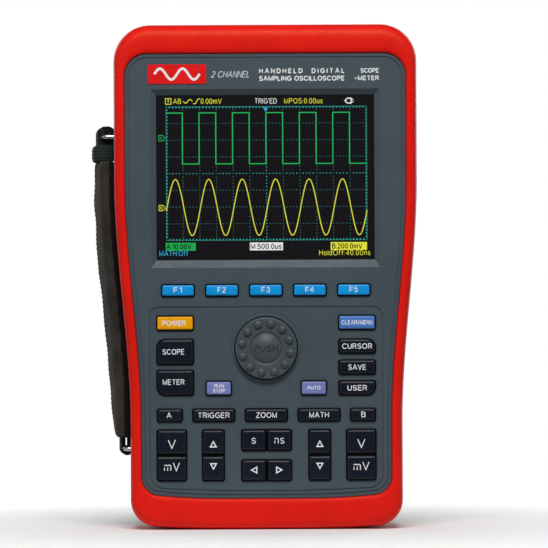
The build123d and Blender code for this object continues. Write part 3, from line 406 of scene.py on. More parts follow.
def auto_smooth(piece, degrees=40):
    """Smooth shading that breaks at edges sharper than this."""
    limit = math.radians(degrees)
    shell = bmesh.new()
    shell.from_mesh(piece.data)
    for edge in shell.edges:
        if len(edge.link_faces) == 2:
            edge.smooth = edge.calc_face_angle(0) < limit
    for face in shell.faces:
        face.smooth = True
    shell.to_mesh(piece.data)
    shell.free()


def boxes_piece(boxes):
    """One helper mesh of boxes, each from its low to its high corner in millimetres."""
    points, faces = [], []
    for low, high in boxes:
        start = len(points)
        points += [(x, y, z) for x in (low[0], high[0]) for y in (low[1], high[1]) for z in (low[2], high[2])]
        for quad in ((0, 1, 3, 2), (4, 6, 7, 5), (0, 4, 5, 1), (2, 3, 7, 6), (0, 2, 6, 4), (1, 5, 7, 3)):
            faces.append(tuple(start + i for i in quad))
    mesh = bpy.data.meshes.new("cutter")
    mesh.from_pydata([tuple(c * MM for c in p) for p in points], [], faces)
    cutter = bpy.data.objects.new("cutter", mesh)
    bpy.context.scene.collection.objects.link(cutter)
    return cutter


def cut(piece, cutter):
    """Subtracts the cutter from the piece, and removes the cutter."""
    modifier = piece.modifiers.new("cut", "BOOLEAN")
    modifier.operation = "DIFFERENCE"
    modifier.solver = "EXACT"
    modifier.object = cutter
    apply_modifiers(piece)
    bpy.data.objects.remove(cutter)


def rounded_rectangle(width, height, radii, steps=6):
    """Points round a rectangle about the origin. radii are for its corners, from the upper right
    one anticlockwise."""
    points = []
    corners = ((1, 1), (-1, 1), (-1, -1), (1, -1))
    for number, ((sx, sz), radius) in enumerate(zip(corners, radii)):
        cx, cz = sx * (width / 2 - radius), sz * (height / 2 - radius)
        for step in range(steps + 1):
            angle = math.pi / 2 * (number + step / steps)
            points.append((cx + radius * math.cos(angle), cz + radius * math.sin(angle)))
    return points


# ---------------------------------------------------------------- body outline


def half_width(z, margin):
    """Half the body's width at a height, drawn in by a margin."""
    t = min(1, max(0, (z - WAIST_Z) / (SHOULDER_Z - WAIST_Z)))
    return HALF_BASE + (HALF_TOP - HALF_BASE) * t * t * (3 - 2 * t) - margin


def body_loop(side, top, bottom, top_radius, base_radius, y):
    """A ring of points round the body at depth y, drawn in at its sides, top and base."""
    half_base, half_top = HALF_BASE - side, HALF_TOP - side
    bow = BASE_RISE / (half_base - BASE_FLAT) ** 2

    def base_z(x):
        return bottom + bow * max(0, x - BASE_FLAT) ** 2

    slope = math.atan(2 * bow * (half_base - base_radius - BASE_FLAT))
    touch_x = half_base - base_radius * (1 - math.sin(slope))
    corner_z = base_z(touch_x) + base_radius * math.cos(slope)
    top_z = HEIGHT - top - top_radius
    right = []
    for i in range(18):
        x = touch_x * i / 18
        right.append((x, base_z(x)))
    for i in range(12):
        angle = slope - math.pi / 2 + (math.pi / 2 - slope) * i / 12
        corner_x = half_base - base_radius * (1 - math.cos(angle))
        right.append((corner_x, corner_z + base_radius * math.sin(angle)))
    for i in range(56):
        z = corner_z + (top_z - corner_z) * i / 56
        right.append((half_width(z, side), z))
    for i in range(16):
        angle = math.pi / 2 * i / 16
        right.append((half_top - top_radius * (1 - math.cos(angle)), top_z + top_radius * math.sin(angle)))
    for i in range(14):
        right.append(((half_top - top_radius) * (1 - i / 14), HEIGHT - top))
    left = [(-x, z) for x, z in reversed(right[1:])]
    return [(x, y, z) for x, z in right + [(0, HEIGHT - top)] + left]


def blended_loop(margins, share, y):
    """A ring between the silhouette, at share 0, and an opening drawn in by margins, at share 1."""
    side, top, bottom, top_radius, base_radius = margins
    return body_loop(
        side * share, top * share, bottom * share,
        TOP_RADIUS + (top_radius - TOP_RADIUS) * share,
        BASE_RADIUS + (base_radius - BASE_RADIUS) * share, y,
    )


def bumper():
    """The stretched rubber bumper: a fat rounded rim in front, a flatter one behind."""
    front = [
        (0.0, -12.6), (0.0, -19.0), (0.01, -21.4), (0.045, -23.6), (0.10, -25.3), (0.18, -26.6),
        (0.29, -27.4), (0.42, -27.8), (0.56, -27.95), (0.70, -28.0), (0.82, -27.97),
        (0.92, -27.8), (0.97, -27.4), (1.0, -26.4),
    ]
    back = [
        (1.0, 26.4), (0.98, 26.9), (0.93, 27.35), (0.84, 27.75), (0.70, 28.0), (0.52, 27.9),
        (0.38, 27.4), (0.25, 26.5), (0.14, 25.1), (0.06, 23.3), (0.015, 21.2), (0.0, 19.0), (0.0, 14.5),
    ]
    loops = [blended_loop(BACK_MARGIN, share, y) for share, y in back]
    # A fine relief line runs round the sides.
    for depth, y in ((0, -9.4), (0.55, -10.2), (0.55, -11.4), (0, -12.2)):
        radius = -depth
        loops.append(body_loop(depth, depth, depth, TOP_RADIUS + radius, BASE_RADIUS + radius, y))
    loops += [blended_loop(PANEL_MARGIN, share, y) for share, y in front]
    loops.append(blended_loop(PANEL_MARGIN, 1.0, -SHOULDER - 0.06))
    inner = RUBBER - 0.1
    for y in (-SHOULDER - 0.06, SHOULDER + 0.06):
        loops.append(body_loop(inner, inner, inner, TOP_RADIUS - inner, BASE_RADIUS - inner, y))
    loops.append(blended_loop(BACK_MARGIN, 1.0, SHOULDER + 0.06))
    points, faces = bridge(loops)
    piece = new_mesh("bumper_skin", points, faces, [RED])
    past = 2.0          # the cutting boxes reach past the rubber's outside
    socket_bay = ((-60, 3.5, HEIGHT - 8), (60, 21.5, HEIGHT + past))
    port_bay = ((HALF_TOP - 6, 3, 191), (HALF_TOP + past, 19, 223))
    holes = [socket_bay, port_bay]
    bail_hole = 1.4     # half the width of the hole for a bail's end
    for z, reach in ((209.0, 8), (42.6, 16)):
        for y in (-10, 14):
            low = (-HALF_TOP - past, y - bail_hole, z - bail_hole)
            holes.append((low, (-HALF_TOP + reach, y + bail_hole, z + bail_hole)))
    cut(piece, boxes_piece(holes))
    auto_smooth(piece, 35)
    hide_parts("rubber_bumper")


bumper()

# ---------------------------------------------------------------- keys

KEY_FACE = PANEL + 1.7
FLANGE = 0.9
# A cap's section from its root to its middle: inset from its edge, and depth below its face.
# The first stretch is dark, as the coloured lacquer covers only the face and its soft bevel.
CAP_DARK = [(0, 4.1), (0, 0.95), (0.08, 0.72), (0.25, 0.56), (0.56, 0.47)]
CAP_FACE = [(0.60, 0.45), (0.78, 0.28), (0.96, 0.12), (1.2, 0.03), (1.5, 0.0)]
CROWN = 0.10


def cap(x, z, width, height, radii, face=KEY_FACE):
    """Points, faces and face materials of one cap. Its sides are material 0, its face 1."""
    reach = min(width, height) / 2
    rings = CAP_DARK + CAP_FACE
    flat = CAP_FACE[-1][0]
    for share in (0.3, 0.6, 0.95):
        rings.append((flat + (reach - flat) * share, -CROWN * math.sin(math.pi / 2 * share)))
    loops = []
    for inset, sink in rings:
        # A big corner may take more than half of the height, and leaves room for the small one beside it.
        beside = max(0.02, min(radii) - inset * 0.8)
        room = 2 * (reach - inset) - beside
        shrunk = [max(0.02, min(radius - inset * 0.8, room)) for radius in radii]
        ring = rounded_rectangle(width - 2 * inset, height - 2 * inset, shrunk)
        loops.append([(x + px, sink - face, z + pz) for px, pz in ring])
    points, faces = capped(loops)
    dark_faces = (len(CAP_DARK) - 1) * len(loops[0])
    chosen = [0 if number < dark_faces else 1 for number in range(len(faces))]
    chosen[-1] = 0
    return points, faces, chosen


def merge(parts):
    """Joins several (points, faces, chosen) sets into one."""
    points, faces, chosen = [], [], []
    for more_points, more_faces, more_chosen in parts:
        start = len(points)
        points += more_points
        faces += [tuple(start + i for i in face) for face in more_faces]
        chosen += more_chosen
    return points, faces, chosen


SMALL, BIG = 1.2, 4.6
CORNER_KEYS = {
    "key_scope": (SMALL, BIG, SMALL, SMALL), "key_meter": (SMALL, SMALL, BIG, SMALL),
    "key_cursor": (BIG, SMALL, SMALL, SMALL), "key_user": (SMALL, SMALL, SMALL, BIG),
}
KEY_COLOURS = {
    "key_azure": AZURE, "key_amber": AMBER, "key_blue": BLUE, "key_lavender": LAVENDER, "key_navy": NAVY,
}


def node_slot(node):
    return next(part["material_slot"] for part in frame["record"]["subparts"] if part["node"] == node)


def key_piece(node):
    """A push key's cap in place of its CAD node."""
    x, z, width, height = middle_and_size(node)
    slot = node_slot(node)
    radii = CORNER_KEYS.get(node, (SMALL,) * 4)
    points, faces, chosen = cap(x, z, width - 2 * FLANGE, height - 2 * FLANGE, radii)
    piece = new_mesh(f"{node}_cap", points, faces, [KEY_SIDE, KEY_COLOURS[slot]], node, chosen)
    auto_smooth(piece, 50)
    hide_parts(node)


def rocker_piece(node):
    """A rocker in place of its CAD node: one bar that carries two caps with a groove between."""
    x, z, width, height = middle_and_size(node)
    width, height = width - 2 * FLANGE, height - 2 * FLANGE
    parts = [cap(x, z, width, height, (SMALL,) * 4, face=KEY_FACE - 0.9)]
    groove = 0.9
    for side in (-1, 1):
        if width > height:
            size = ((width - groove) / 2, height)
            offset = (side * (width + groove) / 4, 0)
            radii = (SMALL, 0.4, 0.4, SMALL) if side > 0 else (0.4, SMALL, SMALL, 0.4)
        else:
            size = (width, (height - groove) / 2)
            offset = (0, side * (height + groove) / 4)
            radii = (SMALL, SMALL, 0.4, 0.4) if side > 0 else (0.4, 0.4, SMALL, SMALL)
        parts.append(cap(x + offset[0], z + offset[1], *size, radii))
    points, faces, chosen = merge(parts)
    base_faces = len(parts[0][1])
    chosen = [0] * base_faces + chosen[base_faces:]
    piece = new_mesh(f"{node}_cap", points, faces, [KEY_SIDE, NAVY], node, chosen)
    auto_smooth(piece, 50)
    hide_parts(node)


KEY_NODES = [name for name in frame["nodes"] if name.startswith("key_")]
ROCKER_NODES = [name for name in frame["nodes"] if name.startswith("rocker_")]
for node in KEY_NODES:
    key_piece(node)
for node in ROCKER_NODES:
    rocker_piece(node)

# ---------------------------------------------------------------- printed legends


def arc(cx, cz, rx, rz, start, end):
    """Points of an elliptical arc between two angles in degrees."""
    steps = max(2, math.ceil(abs(end - start) / 15))
    angles = [math.radians(start + (end - start) * i / steps) for i in range(steps + 1)]
    return [(cx + rx * math.cos(a), cz + rz * math.sin(a)) for a in angles]


def s_curve(width, height):
    """The letter s, as two arcs that meet in its middle."""
    high, low = height * 0.75, height * 0.25
    upper = arc(width * 0.5, high, width * 0.46, low, 20, 270)
    return upper + arc(width * 0.5, low, width * 0.5, low, 90, -162)[1:]


# Each letter is its width and its strokes' centre lines, for capitals one unit high.
LETTERS = {
    "A": (0.80, [[(0, 0), (0.40, 1), (0.80, 0)], [(0.14, 0.33), (0.66, 0.33)]]),
    "B": (0.62, [[(0, 0), (0, 1), (0.33, 1)] + arc(0.33, 0.765, 0.24, 0.235, 90, -90) + [(0, 0.53)],
                 [(0.33, 0.53)] + arc(0.36, 0.265, 0.26, 0.265, 90, -90) + [(0, 0)]]),
    "C": (0.76, [arc(0.41, 0.5, 0.41, 0.5, 38, 322)]),
    "D": (0.70, [[(0, 0), (0, 1), (0.30, 1)] + arc(0.30, 0.5, 0.40, 0.5, 90, -90) + [(0, 0)]]),
    "E": (0.58, [[(0.58, 1), (0, 1), (0, 0), (0.60, 0)], [(0, 0.52), (0.53, 0.52)]]),
    "F": (0.54, [[(0.54, 1), (0, 1), (0, 0)], [(0, 0.50), (0.46, 0.50)]]),
    "G": (0.80, [arc(0.41, 0.5, 0.41, 0.5, 40, 305) + [(0.79, 0.16), (0.79, 0.46), (0.45, 0.46)]]),
    "H": (0.66, [[(0, 0), (0, 1)], [(0.66, 0), (0.66, 1)], [(0, 0.52), (0.66, 0.52)]]),
    "I": (0.02, [[(0.01, 0), (0.01, 1)]]),
    "L": (0.52, [[(0, 1), (0, 0), (0.52, 0)]]),
    "M": (0.80, [[(0, 0), (0, 1), (0.40, 0.04), (0.80, 1), (0.80, 0)]]),
    "N": (0.66, [[(0, 0), (0, 1), (0.66, 0), (0.66, 1)]]),
    "O": (0.84, [arc(0.42, 0.5, 0.42, 0.5, 0, 360)]),
    "P": (0.60, [[(0, 0), (0, 1), (0.34, 1)] + arc(0.34, 0.74, 0.26, 0.26, 90, -90) + [(0, 0.48)]]),
    "R": (0.64, [[(0, 0), (0, 1), (0.35, 1)] + arc(0.35, 0.75, 0.26, 0.25, 90, -90) + [(0, 0.50)],
                 [(0.36, 0.50), (0.64, 0)]]),
    "S": (0.62, [s_curve(0.62, 1)]),
    "T": (0.64, [[(0, 1), (0.64, 1)], [(0.32, 1), (0.32, 0)]]),
    "U": (0.64, [[(0, 1)] + arc(0.32, 0.32, 0.32, 0.32, 180, 360) + [(0.64, 1)]]),
    "V": (0.74, [[(0, 1), (0.37, 0), (0.74, 1)]]),
    "W": (1.05, [[(0, 1), (0.26, 0), (0.525, 1), (0.79, 0), (1.05, 1)]]),
    "Z": (0.66, [[(0.02, 1), (0.64, 1), (0, 0), (0.66, 0)]]),
    "0": (0.54, [arc(0.27, 0.5, 0.27, 0.5, 0, 360)]),
    "1": (0.26, [[(0, 0.76), (0.24, 1), (0.24, 0)]]),
    "2": (0.54, [arc(0.27, 0.73, 0.26, 0.27, 165, -38) + [(0, 0), (0.54, 0)]]),
    "3": (0.54, [arc(0.26, 0.76, 0.24, 0.24, 155, -90) + arc(0.26, 0.26, 0.28, 0.26, 90, -155)[1:]]),
    "4": (0.56, [[(0.42, 0), (0.42, 1), (0, 0.30), (0.58, 0.30)]]),
    "5": (0.54, [[(0.48, 1), (0.10, 1), (0.03, 0.50)] + arc(0.26, 0.32, 0.28, 0.33, 130, -150)]),
    "m": (0.78, [[(0, 0), (0, 0.72)], [(0, 0.4)] + arc(0.195, 0.5, 0.195, 0.22, 180, 0) + [(0.39, 0)],
                 [(0.39, 0.4)] + arc(0.585, 0.5, 0.195, 0.22, 180, 0) + [(0.78, 0)]]),
    "n": (0.44, [[(0, 0), (0, 0.72)], [(0, 0.4)] + arc(0.22, 0.48, 0.22, 0.24, 180, 0) + [(0.44, 0)]]),
    "s": (0.42, [s_curve(0.42, 0.72)]),
    "u": (0.44, [
        [(0, 0.72)] + arc(0.22, 0.24, 0.22, 0.24, 180, 360) + [(0.44, 0.72)],
        [(0.44, 0.4), (0.44, 0)],
    ]),
    "o": (0.48, [arc(0.24, 0.36, 0.24, 0.36, 0, 360)]),
    "l": (0.02, [[(0.01, 0), (0.01, 1)]]),
    "d": (0.46, [arc(0.23, 0.36, 0.23, 0.36, 0, 360), [(0.46, 0), (0.46, 1)]]),
    "f": (0.30, [[(0.09, 0)] + arc(0.27, 0.82, 0.18, 0.18, 180, 80), [(-0.06, 0.66), (0.28, 0.66)]]),
    ":": (0.02, [[(0.01, 0.02), (0.01, 0.10)], [(0.01, 0.54), (0.01, 0.62)]]),
    ".": (0.02, [[(0.01, -0.02), (0.01, 0.06)]]),
    "'": (0.02, [[(0.01, 1.02), (0.01, 0.76)]]),
    "/": (0.36, [[(0, -0.04), (0.36, 1.04)]]),
    "+": (0.50, [[(0, 0.45), (0.50, 0.45)], [(0.25, 0.20), (0.25, 0.70)]]),
    " ": (0.20, []),
}


SAME_POINT = 1e-4


def ribbon(line, weight):
    """A flat stroke of even width along a line of points, with mitred corners."""
    line = [line[0]] + [p for before, p in zip(line, line[1:]) if math.dist(before, p) > SAME_POINT]
    closed = math.dist(line[0], line[-1]) < SAME_POINT
    points = []
    last = len(line) - 1
    normals = []
    for (x0, z0), (x1, z1) in zip(line, line[1:]):
        length = math.hypot(x1 - x0, z1 - z0) or 1
        normals.append((-(z1 - z0) / length, (x1 - x0) / length))
    for number, (x, z) in enumerate(line):
        before, after = normals[max(0, number - 1)], normals[min(last - 1, number)]
        if closed and number in (0, last):
            before, after = normals[-1], normals[0]
        nx, nz = before[0] + after[0], before[1] + after[1]
        size = math.hypot(nx, nz) or 1
        reach = weight / 2 / max(0.42, size / 2)
        nx, nz = nx / size * reach, nz / size * reach
        points += [(x + nx, z + nz), (x - nx, z - nz)]
    faces = [(2 * i, 2 * i + 1, 2 * i + 3, 2 * i + 2) for i in range(last)]
    return points, faces


def stroke(line, weight, x=0.0, z=0.0):
    """A ribbon as a mark: points, faces and where it is put."""
    return (*ribbon(line, weight), x, z)


def write(words, x, z, size, width, weight=0.42, gap=0.30, slant=0.0):
    """Marks for a line of words, centred on x and z. size is the capitals' height over their
    strokes, width the whole line's length, and gap the space between letters."""
    lines, cursor = [], 0.0
    for letter in words:
        reach, strokes = LETTERS[letter]
        lines += [[(px + cursor, pz) for px, pz in line] for line in strokes]
        cursor += reach + gap
    total = cursor - gap
    across, up = (width - weight) / total, size - weight
    marks = []
    for line in lines:
        placed = [((px - total / 2) * across + slant * (pz - 0.5) * up, (pz - 0.5) * up) for px, pz in line]
        marks.append(stroke(placed, weight, x, z))
    return marks


def triangle_mark(direction, x, z, wide=4.1, high=3.7, weight=0.62):
    """A hollow triangle that points up, down, left or right."""
    turn = math.radians({"up": 0, "left": 90, "down": 180, "right": 270}[direction])
    corners = [(0, high / 2), (-wide / 2, -high / 2), (wide / 2, -high / 2)]
    along, up = math.cos(turn), math.sin(turn)
    outer = [(px * along - pz * up, px * up + pz * along) for px, pz in corners]
    middle = (sum(p[0] for p in outer) / 3, sum(p[1] for p in outer) / 3)
    inner = []
    for px, pz in outer:
        dx, dz = middle[0] - px, middle[1] - pz
        share = 1.9 * weight / math.hypot(dx, dz)
        inner.append((px + dx * share, pz + dz * share))
    faces = [(i, (i + 1) % 3, 3 + (i + 1) % 3, 3 + i) for i in range(3)]
    return outer + inner, faces, x, z


def printed(name, marks, depth, material, body, thick=0.05):
    """Marks as one thin raised print whose face is at depth y, each mark as (points, faces, x, z)."""
    points, faces = [], []
    for flat_points, flat_faces, x, z in marks:
        start, count = len(points), len(flat_points)
        points += [(x + px, depth, z + pz) for px, pz in flat_points]
        points += [(x + px, depth + thick, z + pz) for px, pz in flat_points]
        edges = {}
        for face in flat_faces:
            faces.append(tuple(start + i for i in face))
            faces.append(tuple(start + count + i for i in reversed(face)))
            for a, b in zip(face, face[1:] + face[:1]):
                if (b, a) in edges:
                    del edges[(b, a)]
                else:
                    edges[(a, b)] = True
        faces += [(start + b, start + a, start + count + a, start + count + b) for a, b in edges]
    return new_mesh(name, points, faces, [material], body, smooth=False)


LEGEND_Y = -KEY_FACE - 0.13
# Each legend's lines: words, height, width, stroke weight, and offset from the key's middle.
KEY_WORDS = {
    "key_power": [("POWER", 2.75, 12.5, 0.46, -0.6, 0)],
    "key_scope": [("SCOPE", 2.95, 11.6, 0.40, -0.9, 0.0)],
    "key_meter": [("METER", 2.95, 11.6, 0.40, -0.9, 0.4)],
    "key_clear_menu": [("CLEAR/MENU", 2.35, 16.5, 0.36, 0, 0)],
    "key_cursor": [("CURSOR", 2.95, 15.9, 0.42, 0, 0)],
    "key_save": [("SAVE", 2.95, 9.5, 0.42, 0, 0)],
    "key_user": [("USER", 2.95, 10.4, 0.42, 0, 0)],
    "key_run_stop": [("RUN", 1.95, 5.1, 0.34, 0.1, 1.3), ("STOP", 1.95, 6.4, 0.34, 0.1, -1.35)],
    "key_auto": [("AUTO", 1.95, 7.2, 0.34, 0, 0.1)],
    "key_channel_a": [("A", 3.0, 2.7, 0.42, -0.4, 0.1)],
    "key_trigger": [("TRIGGER", 3.0, 16.8, 0.40, 0, 0)],
    "key_zoom": [("ZOOM", 3.0, 11.1, 0.42, 0, 0)],
    "key_math": [("MATH", 3.0, 10.4, 0.42, 0, 0)],
    "key_channel_b": [("B", 3.0, 2.4, 0.46, 0.2, 0.1)],
}
for number in range(1, 6):
    KEY_WORDS[f"key_f{number}"] = [(f"F{number}", 2.95, 4.5, 0.42, -0.1, 0.2)]

for node, lines in KEY_WORDS.items():
    x, z, _, _ = middle_and_size(node)
    marks = []
    for words, size, width, weight, dx, dz in lines:
        marks += write(words, x + dx, z + dz, size, width, weight)
    printed(f"{node}_legend", marks, LEGEND_Y, WHITE_INK, node)


def rocker_legend(node, first, second):
    """Marks on a rocker's two halves: words with their size, or the way a triangle points."""
    x, z, width, height = middle_and_size(node)
    marks = []
    for mark, side in ((first, -1), (second, 1)):
        along = 6.8 if width > height else 6.0
        at_x, at_z = (x + side * along, z + 0.2) if width > height else (x, z - side * along)
        if isinstance(mark, str):
            marks.append(triangle_mark(mark, at_x, at_z))
        else:
            marks += write(mark[0], at_x, at_z, *mark[1:])
    printed(f"{node}_legend", marks, LEGEND_Y, WHITE_INK, node)


for channel in "ab":
    rocker_legend(f"rocker_volts_{channel}", ("V", 4.9, 4.3, 0.46), ("mV", 4.6, 8.4, 0.46))
    rocker_legend(f"rocker_position_{channel}", "up", "down")
rocker_legend("rocker_timebase", ("s", 4.2, 2.3, 0.40), ("ns", 4.2, 5.2, 0.40))
rocker_legend("rocker_shift", "left", "right")

# ---------------------------------------------------------------- display

SCREEN_Z = 186.8
LCD_FACE = box_mm("lcd_module")[0][1]
GRID_LEFT, GRID_RIGHT, GRID_LOW, GRID_HIGH = -52.6, 53.9, 153.5, 224.5
DIVISION_X = (GRID_RIGHT - GRID_LEFT) / 12
DIVISION_Z = (GRID_HIGH - GRID_LOW) / 8
BORDER_TEAL = glowing("display_teal", (0.02, 0.50, 0.44), 1.0)
DOT_TEAL = glowing("display_dots", (0.04, 0.26, 0.23), 1.0)
AXIS_TEAL = glowing("display_axis", (0.06, 0.50, 0.44), 1.0)
TRACE_GREEN = glowing("display_green", (0.01, 0.50, 0.11), 1.0)
BLOCK_GREEN = glowing("display_block", (0.01, 0.40, 0.08), 1.0)
TRACE_YELLOW = glowing("display_yellow", (0.80, 0.78, 0.05), 1.0)
SCREEN_CYAN = glowing("display_cyan", (0.03, 0.45, 0.80), 1.0)
SCREEN_WHITE = glowing("display_white", (0.85, 0.85, 0.85), 1.0)
SCREEN_BLACK = glowing("display_black", (0.0012, 0.0009, 0.0022), 1.0)


def rectangle(left, low, right, high):
    """A filled rectangle as one mark."""
    return [(left, low), (right, low), (right, high), (left, high)], [(0, 1, 2, 3)], 0, 0


def display_piece(name, marks, material, layer):
    """Lit marks on the display's face. A higher layer lies nearer the viewer."""
    piece = printed(name, marks, LCD_FACE - 0.04 - 0.03 * layer, material, CASE, 0.02)


def graticule():
    """Twelve by eight divisions of dots, with stronger dots on the centre lines."""
    dot, strong = 0.22, 0.25
    faint, bright = [], []
    per_division = 5
    for column in range(1, 12):
        x = GRID_LEFT + column * DIVISION_X
        half, dots = (strong, bright) if column == 6 else (dot, faint)
        for step in range(1, 8 * per_division):
            z = GRID_LOW + step * DIVISION_Z / per_division
            dots.append(rectangle(x - half, z - half, x + half, z + half))
    for row in range(1, 8):
        z = GRID_LOW + row * DIVISION_Z
        half, dots = (strong, bright) if row == 4 else (dot, faint)
        for step in range(1, 12 * per_division):
            x = GRID_LEFT + step * DIVISION_X / per_division
            if step % per_division:
                dots.append(rectangle(x - half, z - half, x + half, z + half))
    display_piece("display_grid_dots", faint, DOT_TEAL, 1)
    display_piece("display_grid_axes", bright, AXIS_TEAL, 1)


def border():
    """The graticule's frame, with a tick at each dot."""
    line, tick, half, per_division = 0.12, 0.75, 0.30, 5
    sides = [
        rectangle(GRID_LEFT - line, GRID_LOW - line, GRID_LEFT + line, GRID_HIGH + line),
        rectangle(GRID_RIGHT - line, GRID_LOW - line, GRID_RIGHT + line, GRID_HIGH + line),
        rectangle(GRID_LEFT + line, GRID_LOW - line, GRID_RIGHT - line, GRID_LOW + line),
        rectangle(GRID_LEFT + line, GRID_HIGH - line, GRID_RIGHT - line, GRID_HIGH + line),
    ]
    for step in range(1, 12 * per_division):
        x = GRID_LEFT + step * DIVISION_X / per_division
        sides.append(rectangle(x - half, GRID_LOW + line, x + half, GRID_LOW + tick))
        sides.append(rectangle(x - half, GRID_HIGH - tick, x + half, GRID_HIGH - line))
    for step in range(1, 8 * per_division):
        z = GRID_LOW + step * DIVISION_Z / per_division
        sides.append(rectangle(GRID_LEFT + line, z - half, GRID_LEFT + tick, z + half))
        sides.append(rectangle(GRID_RIGHT - tick, z - half, GRID_RIGHT - line, z + half))
    display_piece("display_grid_border", sides[:4], DOT_TEAL, 1)
    display_piece("display_grid_ticks", sides[4:], BORDER_TEAL, 2)


def traces():
    """A square wave on channel A above a sine on channel B, both two divisions to a period."""
    high, low, weight, first_fall = 221.2, 194.1, 0.54, 0.97
    line = [(GRID_LEFT, high)]
    level = high
    for edge in range(12):
        x = GRID_LEFT + (edge + first_fall) * DIVISION_X
        line.append((x, level))
        if edge < 11:
            level = low if level == high else high
            line.append((x, level))
    line[-1] = (GRID_RIGHT, level)
    display_piece("display_trace_a", [stroke(line, weight)], TRACE_GREEN, 2)
    middle, reach, first_peak = 171.0, 14.9, 0.54 * DIVISION_X
    steps = 480
    wave = []
    for step in range(steps + 1):
        x = GRID_LEFT + (GRID_RIGHT - GRID_LEFT) * step / steps
        phase = (x - GRID_LEFT - first_peak) / (2 * DIVISION_X)
        wave.append((x, middle + reach * math.cos(2 * math.pi * phase)))
    display_piece("display_trace_b", [stroke(wave, 0.50)], TRACE_YELLOW, 2)


def closed_line(points, weight):
    """Marks for a closed outline of straight strokes."""
    return [stroke(points + points[:2], weight)]


def channel_mark(letter, z, material, name):
    """A small lettered pentagon that points at its channel's zero level."""
    x = GRID_LEFT - 2.2
    back, shoulder, tip, half = 1.7, 0.4, 1.8, 1.45
    lower = [(x - back, z - half), (x + shoulder, z - half), (x + tip, z)]
    outline = lower + [(x + shoulder, z + half), (x - back, z + half)]
    marks = closed_line(outline, 0.34) + write(letter, x - 0.4, z, 1.5, 1.1, 0.22)
    display_piece(name, marks, material, 2)


def plug_mark(x, z):
    """The mains plug: a rounded body with two pins, and a short lead behind it."""
    body = [(x + 1.1, z - 1.3), (x + 1.1, z + 1.3)] + arc(x - 0.3, z, 1.5, 1.3, 90, 270)
    pins = [stroke([(x + 1.1, z + side), (x + 2.5, z + side)], 0.42) for side in (-0.65, 0.65)]
    return closed_line(body, 0.6) + pins + [stroke([(x - 2.6, z), (x - 1.8, z)], 0.5)]


def readouts():
    """The words and numbers round the graticule."""
    top_z, block_z, last_z = 227.4, 150.2, 146.7
    size, weight, block_half = 2.85, 0.30, 2.1
    box = [(-52.9, top_z - 1.5), (-49.9, top_z - 1.5), (-49.9, top_z + 1.5), (-52.9, top_z + 1.5)]
    yellow = closed_line(box, 0.36) + write("T", -51.4, top_z, 1.9, 1.5, 0.34)
    yellow += write("AB", -46.7, top_z, size, 4.3, weight)
    mark = 0.42
    sine = [(-43.4 + 0.2 * i, top_z - 1.0 * math.sin(2 * math.pi * i / 24)) for i in range(25)]
    rising_edge = [(-38.2, top_z - 1.3), (-36.9, top_z - 1.2), (-35.6, top_z + 1.2), (-34.5, top_z + 1.3)]
    yellow += [stroke(sine, mark), stroke(rising_edge, mark)]
    yellow += write("0.00mV", -28.6, top_z, size, 11.2, weight)
    yellow += write("MPOS:0.00us", 20.4, top_z, size, 20.4, weight)
    yellow += write("HoldOff:40.00ns", 42.0, last_z, size, 27.2, weight)
    yellow.append(rectangle(34.5, block_z - block_half, 53.8, block_z + block_half))
    display_piece("display_words_yellow", yellow, TRACE_YELLOW, 3)
    white = write("TRIG'ED", 0.4, top_z, size, 11.8, weight) + plug_mark(44.6, top_z)
    white.append(rectangle(-8.4, block_z - block_half, 9.2, block_z + block_half))
    display_piece("display_words_white", white, SCREEN_WHITE, 3)
    green = rectangle(-53.1, block_z - block_half, -37.1, block_z + block_half)
    display_piece("display_block_green", [green], BLOCK_GREEN, 3)
    cyan = write("MATH:Off", -48.8, last_z, size, 15.4, weight)
    cyan.append(([(-1.2, 1.1), (0, -1.3), (1.2, 1.1)], [(0, 1, 2)], 0.3, 222.8))
    display_piece("display_words_cyan", cyan, SCREEN_CYAN, 3)
    bold = 0.46
    dark = write("A:10.00V", -46.1, block_z, size, 13.4, bold)
    dark += write("M:500.0us", 0.2, block_z, size, 16.4, bold)
    dark += write("B:200.0mV", 43.3, block_z, size, 16.2, bold)
    display_piece("display_words_dark", dark, SCREEN_BLACK, 4)


display_piece("display_ground", [rectangle(-57.6, SCREEN_Z - 43.2, 57.6, SCREEN_Z + 43.2)], SCREEN_BLACK, 0)
graticule()
border()
traces()
channel_mark("A", 207.9, TRACE_GREEN, "display_mark_a")
channel_mark("B", 170.8, TRACE_YELLOW, "display_mark_b")
readouts()

# ---------------------------------------------------------------- title and badge

PRINT_Y = -PANEL - 0.05


def header():
    """A plain red badge with a sine wave on it, and a generic title in two lines."""
    x, z, _, _ = middle_and_size("name_badge")
    badge_face = box_mm("name_badge")[0][1]
    steps, reach, rise = 72, 12.0, 2.9
    wave = []
    for i in range(steps + 1):
        wave.append((x - reach + 2 * reach * i / steps, z + rise * math.sin(4 * math.pi * i / steps)))
    emblem = printed("badge_wave", [stroke(wave, 1.3)], badge_face - 0.06, WHITE_INK, CASE)
    channels = write("2 CHANNEL", -18.0, 241.5, 3.5, 20.4, 0.42, 0.26, 0.27)
    printed("title_channels", channels, PRINT_Y, GREY_INK, CASE)
    upper_z, lower_z = 243.2, 239.2
    lines = write("HANDHELD  DIGITAL", 19.6, upper_z, 2.65, 45.4, 0.52, 0.62)
    lines += write("SAMPLING OSCILLOSCOPE", 19.6, lower_z, 2.65, 45.4, 0.52)
    lines += write("SCOPE", 55.6, upper_z, 2.5, 9.8, 0.48)
    lines += write("+METER", 53.9, lower_z, 2.5, 13.2, 0.48)
    printed("title_lines", lines, PRINT_Y, WHITE_INK, CASE)


header()

# ---------------------------------------------------------------- dial

